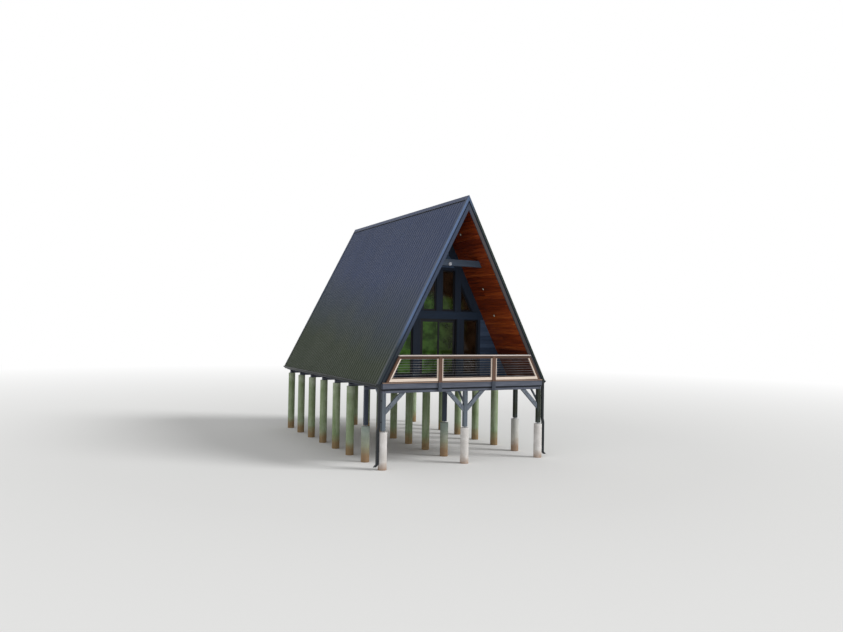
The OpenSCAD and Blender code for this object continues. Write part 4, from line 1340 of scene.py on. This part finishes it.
AHEAD, ABOUT = (0.0, 0.0, 0.0), (0.0, 0.0, math.pi)
rim_low, rim_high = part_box("rim_boards")
points, turns = [], []
for x in joists_x:
    points += [(x, rim_low.y + RIM_T, rim_low.z), (x, rim_high.y - RIM_T, rim_low.z)]
    turns += [AHEAD, ABOUT]
grow(hangers, "joist_hangers", layout(points, turn=turns), {}, zinc)

strap_sizes = {"Length": 0.18, "Width": 0.022, "Metal": 0.003, "Hem": 0.012}
straps = Grower("gutter_straps", strap_sizes)
length, strap_w, metal, hem = [straps.given(k) for k in strap_sizes]
bar = straps.block(length, strap_w, metal, (0.0, 0.0, 0.0))
hook = straps.block(metal, strap_w, hem, straps.vector(length * 0.5, 0.0, hem * -0.5))
straps.end(straps.placed(straps.joined(bar, hook), straps.turned()))

STRAPS = 18
END_SPACE = 0.30
STRAP_DROP = 0.006
gutter_low, gutter_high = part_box("right_gutter")
gutter_x = (gutter_low.x + gutter_high.x) / 2.0
strap_gap = (gutter_high.y - gutter_low.y - 2.0 * END_SPACE) / (STRAPS - 1)
points, turns = [], []
for side in (-1, 1):
    for k in range(STRAPS):
        y = gutter_low.y + END_SPACE + k * strap_gap
        points.append((side * gutter_x, y, gutter_high.z - STRAP_DROP))
        turns.append(AHEAD if side > 0 else ABOUT)
mesh = layout(points, turn=turns)
strap_length = gutter_high.x - gutter_low.x - 2.0 * strap_sizes["Metal"]
grow(straps, "gutter_straps", mesh, {"Length": strap_length}, gutter_coat)

# %% [markdown]
# A downspout is a folded sheet pipe held by bands. The band is a flat strip swept round a rectangle a
# little larger than the pipe; two tails reach back to the post, or to the pier further down.

# %% Downspout bands
band_sizes = {"Pipe width": 0.088, "Pipe depth": 0.076, "Band": 0.028, "Metal": 0.002, "Tail": 0.055}
bands = Grower("downspout_bands", band_sizes)
pipe_w, pipe_d, band, metal, tail = [bands.given(k) for k in band_sizes]
loop = {"Width": pipe_w + metal, "Height": pipe_d + metal}
loop = bands.node("GeometryNodeCurvePrimitiveQuadrilateral", {"mode": "RECTANGLE"}, loop)
strip = {"Width": metal, "Height": band}
strip = bands.node("GeometryNodeCurvePrimitiveQuadrilateral", {"mode": "RECTANGLE"}, strip)
ring = bands.node("GeometryNodeCurveToMesh", {}, {"Curve": loop, "Profile Curve": strip})
parts = [ring]
for sign in (-1.0, 1.0):
    place = bands.vector((pipe_w + tail) * -0.5, (pipe_d + metal) * (0.5 * sign), 0.0)
    parts.append(bands.block(tail, metal, band, place))
bands.end(bands.placed(bands.joined(*parts), bands.turned()))

spout_low, spout_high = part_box("downspouts")
spout_y = (spout_low.y + spout_high.y) / 2.0
GUTTER_W = 0.185
GUTTER_OUTLET = gutter_low.x + 0.3 * GUTTER_W
PIER_RADIUS = 0.1475
POST_TAIL, PIER_TAIL = 0.054, 0.010
PIER_SPOUT = COLUMN_X + PIER_RADIUS + PIER_TAIL + band_sizes["Pipe width"] / 2.0
BANDS = [
    ("post_bands", GUTTER_OUTLET, (DECK_Z - 0.60, DECK_Z - 1.30), POST_TAIL),
    ("pier_bands", PIER_SPOUT, (0.62,), PIER_TAIL),
]
for name, x, heights, tail_length in BANDS:
    points = [(side * x, spout_y, z) for side in (-1, 1) for z in heights]
    turns = [AHEAD if x > 0 else ABOUT for x, y, z in points]
    mesh = layout(points, turn=turns)
    grow(bands, name, mesh, {"Tail": tail_length}, gutter_coat)

# %% [markdown]
# Lights. The four recessed lights a side have a dark trim ring and a small frosted lens, which shows
# as a pale dot on the red lining; the lamp on the collar beam has a white dome. The lens is a
# flattened sphere, half sunk in its ring, with a faint painted glow that keeps it pale in shade.

# %% Lights
lens_sizes = {"Lens width": 0.078, "Crown": 0.35}
lenses = Grower("light_lenses", lens_sizes)
sockets = {"Segments": 20, "Rings": 10, "Radius": lenses.given("Lens width") * 0.5}
ball = lenses.node("GeometryNodeMeshUVSphere", {}, sockets)
squashed = {"Geometry": ball, "Scale": lenses.vector(1.0, 1.0, lenses.given("Crown"))}
ball = lenses.node("GeometryNodeTransform", {}, squashed)
lenses.end(lenses.placed(ball, lenses.facing()))

lens_finish = Finish("lens")
frost = lens_finish.noise(lens_finish.place, 90.0, 3.0)
lens_color = lens_finish.mix(frost, srgb(206, 200, 188), srgb(224, 218, 206))
# A faint painted glow keeps the lens pale in the porch's shade.
lens_finish.done(lens_color, 0.35, lens_finish.bump(frost, 0.0005),
                 Emission_Color=lens_color, Emission_Strength=0.12)
give(coated("lamp_white", srgb(172, 177, 184), 0.4, 0.0), "collar_lamp")
give(coated("light_ring", srgb(74, 60, 52), 0.45, 0.5), "porch_lights")

LIGHTS = 4
LIGHT_Y, LIGHT_FIRST, LIGHT_GAP = 1.20, 1.27, 1.107
RING_DEPTH = 0.007
points, facings = [], []
for side in (-1, 1):
    for i in range(LIGHTS):
        points.append(on_roof(side, LIGHT_Y, LIGHT_FIRST + i * LIGHT_GAP, -INSIDE - RING_DEPTH))
        facings.append(tuple(-out_of_roof(side)))
grow(lenses, "light_lenses", layout(points, facing=facings), {}, lens_finish.material)

# %% [markdown]
# Glazing beads: a strip of dark rubber holds each pane in its frame. From outside it is the thin black
# line between glass and metal. It follows the opening's outline, triangle or rectangle, so each strip
# is the outline pulled inwards with mitred corners.

# %% Glazing beads
def pulled_in(points, distance):
    """A convex outline, counter-clockwise, moved inwards by a distance."""
    result = []
    for i, corner in enumerate(points):
        before, after = Vector(points[i - 1]), Vector(points[(i + 1) % len(points)])
        corner = Vector(corner)
        one, two = (corner - before).normalized(), (after - corner).normalized()
        inward = Vector((-one.y, one.x)) + Vector((-two.y, two.x))
        result.append(tuple(corner + inward * (distance / (1.0 + one.dot(two)))))
    return result


def bead(mesh, outline, width, y):
    inner = pulled_in(outline, width)
    count = len(outline)
    for i in range(count):
        j = (i + 1) % count
        upright_board(mesh, y, [outline[i], outline[j], inner[j], inner[i]])


def mirrored(outline):
    return [(-x, z) for x, z in outline][::-1]


FRAME_W, FRAME_D, FRAME_SET, GLASS_T = 0.048, 0.090, 0.020, 0.020
BEAD_W, BEAD_T = 0.009, 0.014
glass_set = FRAME_SET + (FRAME_D - GLASS_T) / 2.0
LOW_WINDOW_X, LOW_WINDOW_SILL, LOW_WINDOW_HEAD = 1.08, 0.09, 2.18
SLOPE_TRIM = 0.36
low_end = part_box("front_glass")[1].x + FRAME_W
low_window = pulled_in(rect(LOW_WINDOW_X, LOW_WINDOW_SILL, low_end, LOW_WINDOW_HEAD), FRAME_W)
mid_window = pulled_in(rect(mid_in, mid_low, mid_out, mid_top), FRAME_W)
back_in, back_out, back_sill, back_head = BACK_WINDOW
back_window = pulled_in(rect(back_in, back_sill, back_out, back_head), FRAME_W)
x_in, z_low = SLOPE_WINDOW_X + FRAME_W, mid_low + FRAME_W
x_low = plane_x(z_low, LINING_FACE + FRAME_W) - SLOPE_TRIM
z_tip = (HALF_SPAN - (LINING_FACE + FRAME_W) / PITCH_SIN - x_in - SLOPE_TRIM) / RUN
slope_window = [(x_in, z_low), (x_low, z_low), (x_in, z_tip)]

rubber = Finish("rubber")
lump = rubber.noise(rubber.place, 40.0, 2.0)
rubber_color = rubber.mix(lump, srgb(16, 16, 18), srgb(30, 30, 32))
rubber.done(rubber_color, rubber.remap(lump, 0.3, 0.7, 0.55, 0.75))

front_glass_y, back_glass_y = PORCH_Y + glass_set, REAR_Y - glass_set
GABLES = [
    ((low_window, mid_window, slope_window), (front_glass_y - BEAD_T, front_glass_y)),
    ((back_window, mid_window), (back_glass_y, back_glass_y + BEAD_T)),
]
beads = bmesh.new()
for outlines, depth in GABLES:
    for outline in outlines:
        for shape in (outline, mirrored(outline)):
            bead(beads, shape, BEAD_W, depth)
bmesh.ops.recalc_face_normals(beads, faces=beads.faces)
keep(beads, "window_beads", rubber.material)
print("window beads made")

DOOR_BEAD_T = 0.008
door_low, door_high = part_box("sliding_door_glass")
door = bmesh.new()
pane = rect(door_low.x, door_low.z - DECK_Z, door_high.x, door_high.z - DECK_Z)
near, far = door_low.y - FRONT_Y, door_high.y - FRONT_Y
bead(door, pane, BEAD_W, (near - DOOR_BEAD_T, near))
bead(door, pane, BEAD_W, (far, far + DOOR_BEAD_T))
bmesh.ops.recalc_face_normals(door, faces=door.faces)
keep(door, "sliding_door_beads", rubber.material, "sliding_door")
print("door beads made")

# %% [markdown]
# The floor inside shows through the windows as a plank floor. It is one flat panel, so its planks are
# drawn by the finish: the row number across X picks each plank's tone, and a thin dark line marks the
# joint. Its back edge shows under the siding, so that edge takes the stain of the wall.

# %% Plank floor
PLANK = 0.12
PLANK_LENGTH = 1.8
planks = Finish("plank_floor")
row = (planks.x / PLANK).math("FLOOR")
shift = planks.random(row)
end = ((planks.y + shift * 2.4) / PLANK_LENGTH).math("FLOOR")
own = planks.random(row * 13.7 + end * 7.3)
edge = (planks.x / PLANK).math("FRACT")
joint = planks.remap((edge - 0.5).math("ABSOLUTE"), 0.485, 0.5)
apart = planks.vector(own * 9.0, own * 31.0, 0.0)
fibre = grain(planks, "Y", planks.vectors("ADD", planks.place, apart))
tone = planks.mix(own * 0.6 + fibre * 0.4, srgb(112, 78, 50), srgb(168, 126, 86))
tone = planks.mix(joint * 0.8, tone, srgb(40, 26, 18))
tone = planks.mix(planks.y > world(0, REAR_Y - 0.01, 0).y, tone, WALL_STAIN)
rough = planks.remap(fibre, 0.3, 0.7, 0.3, 0.45)
give(planks.done(tone, rough, planks.bump(fibre, 0.0006)), "floor_panel")
print("plank floor set")
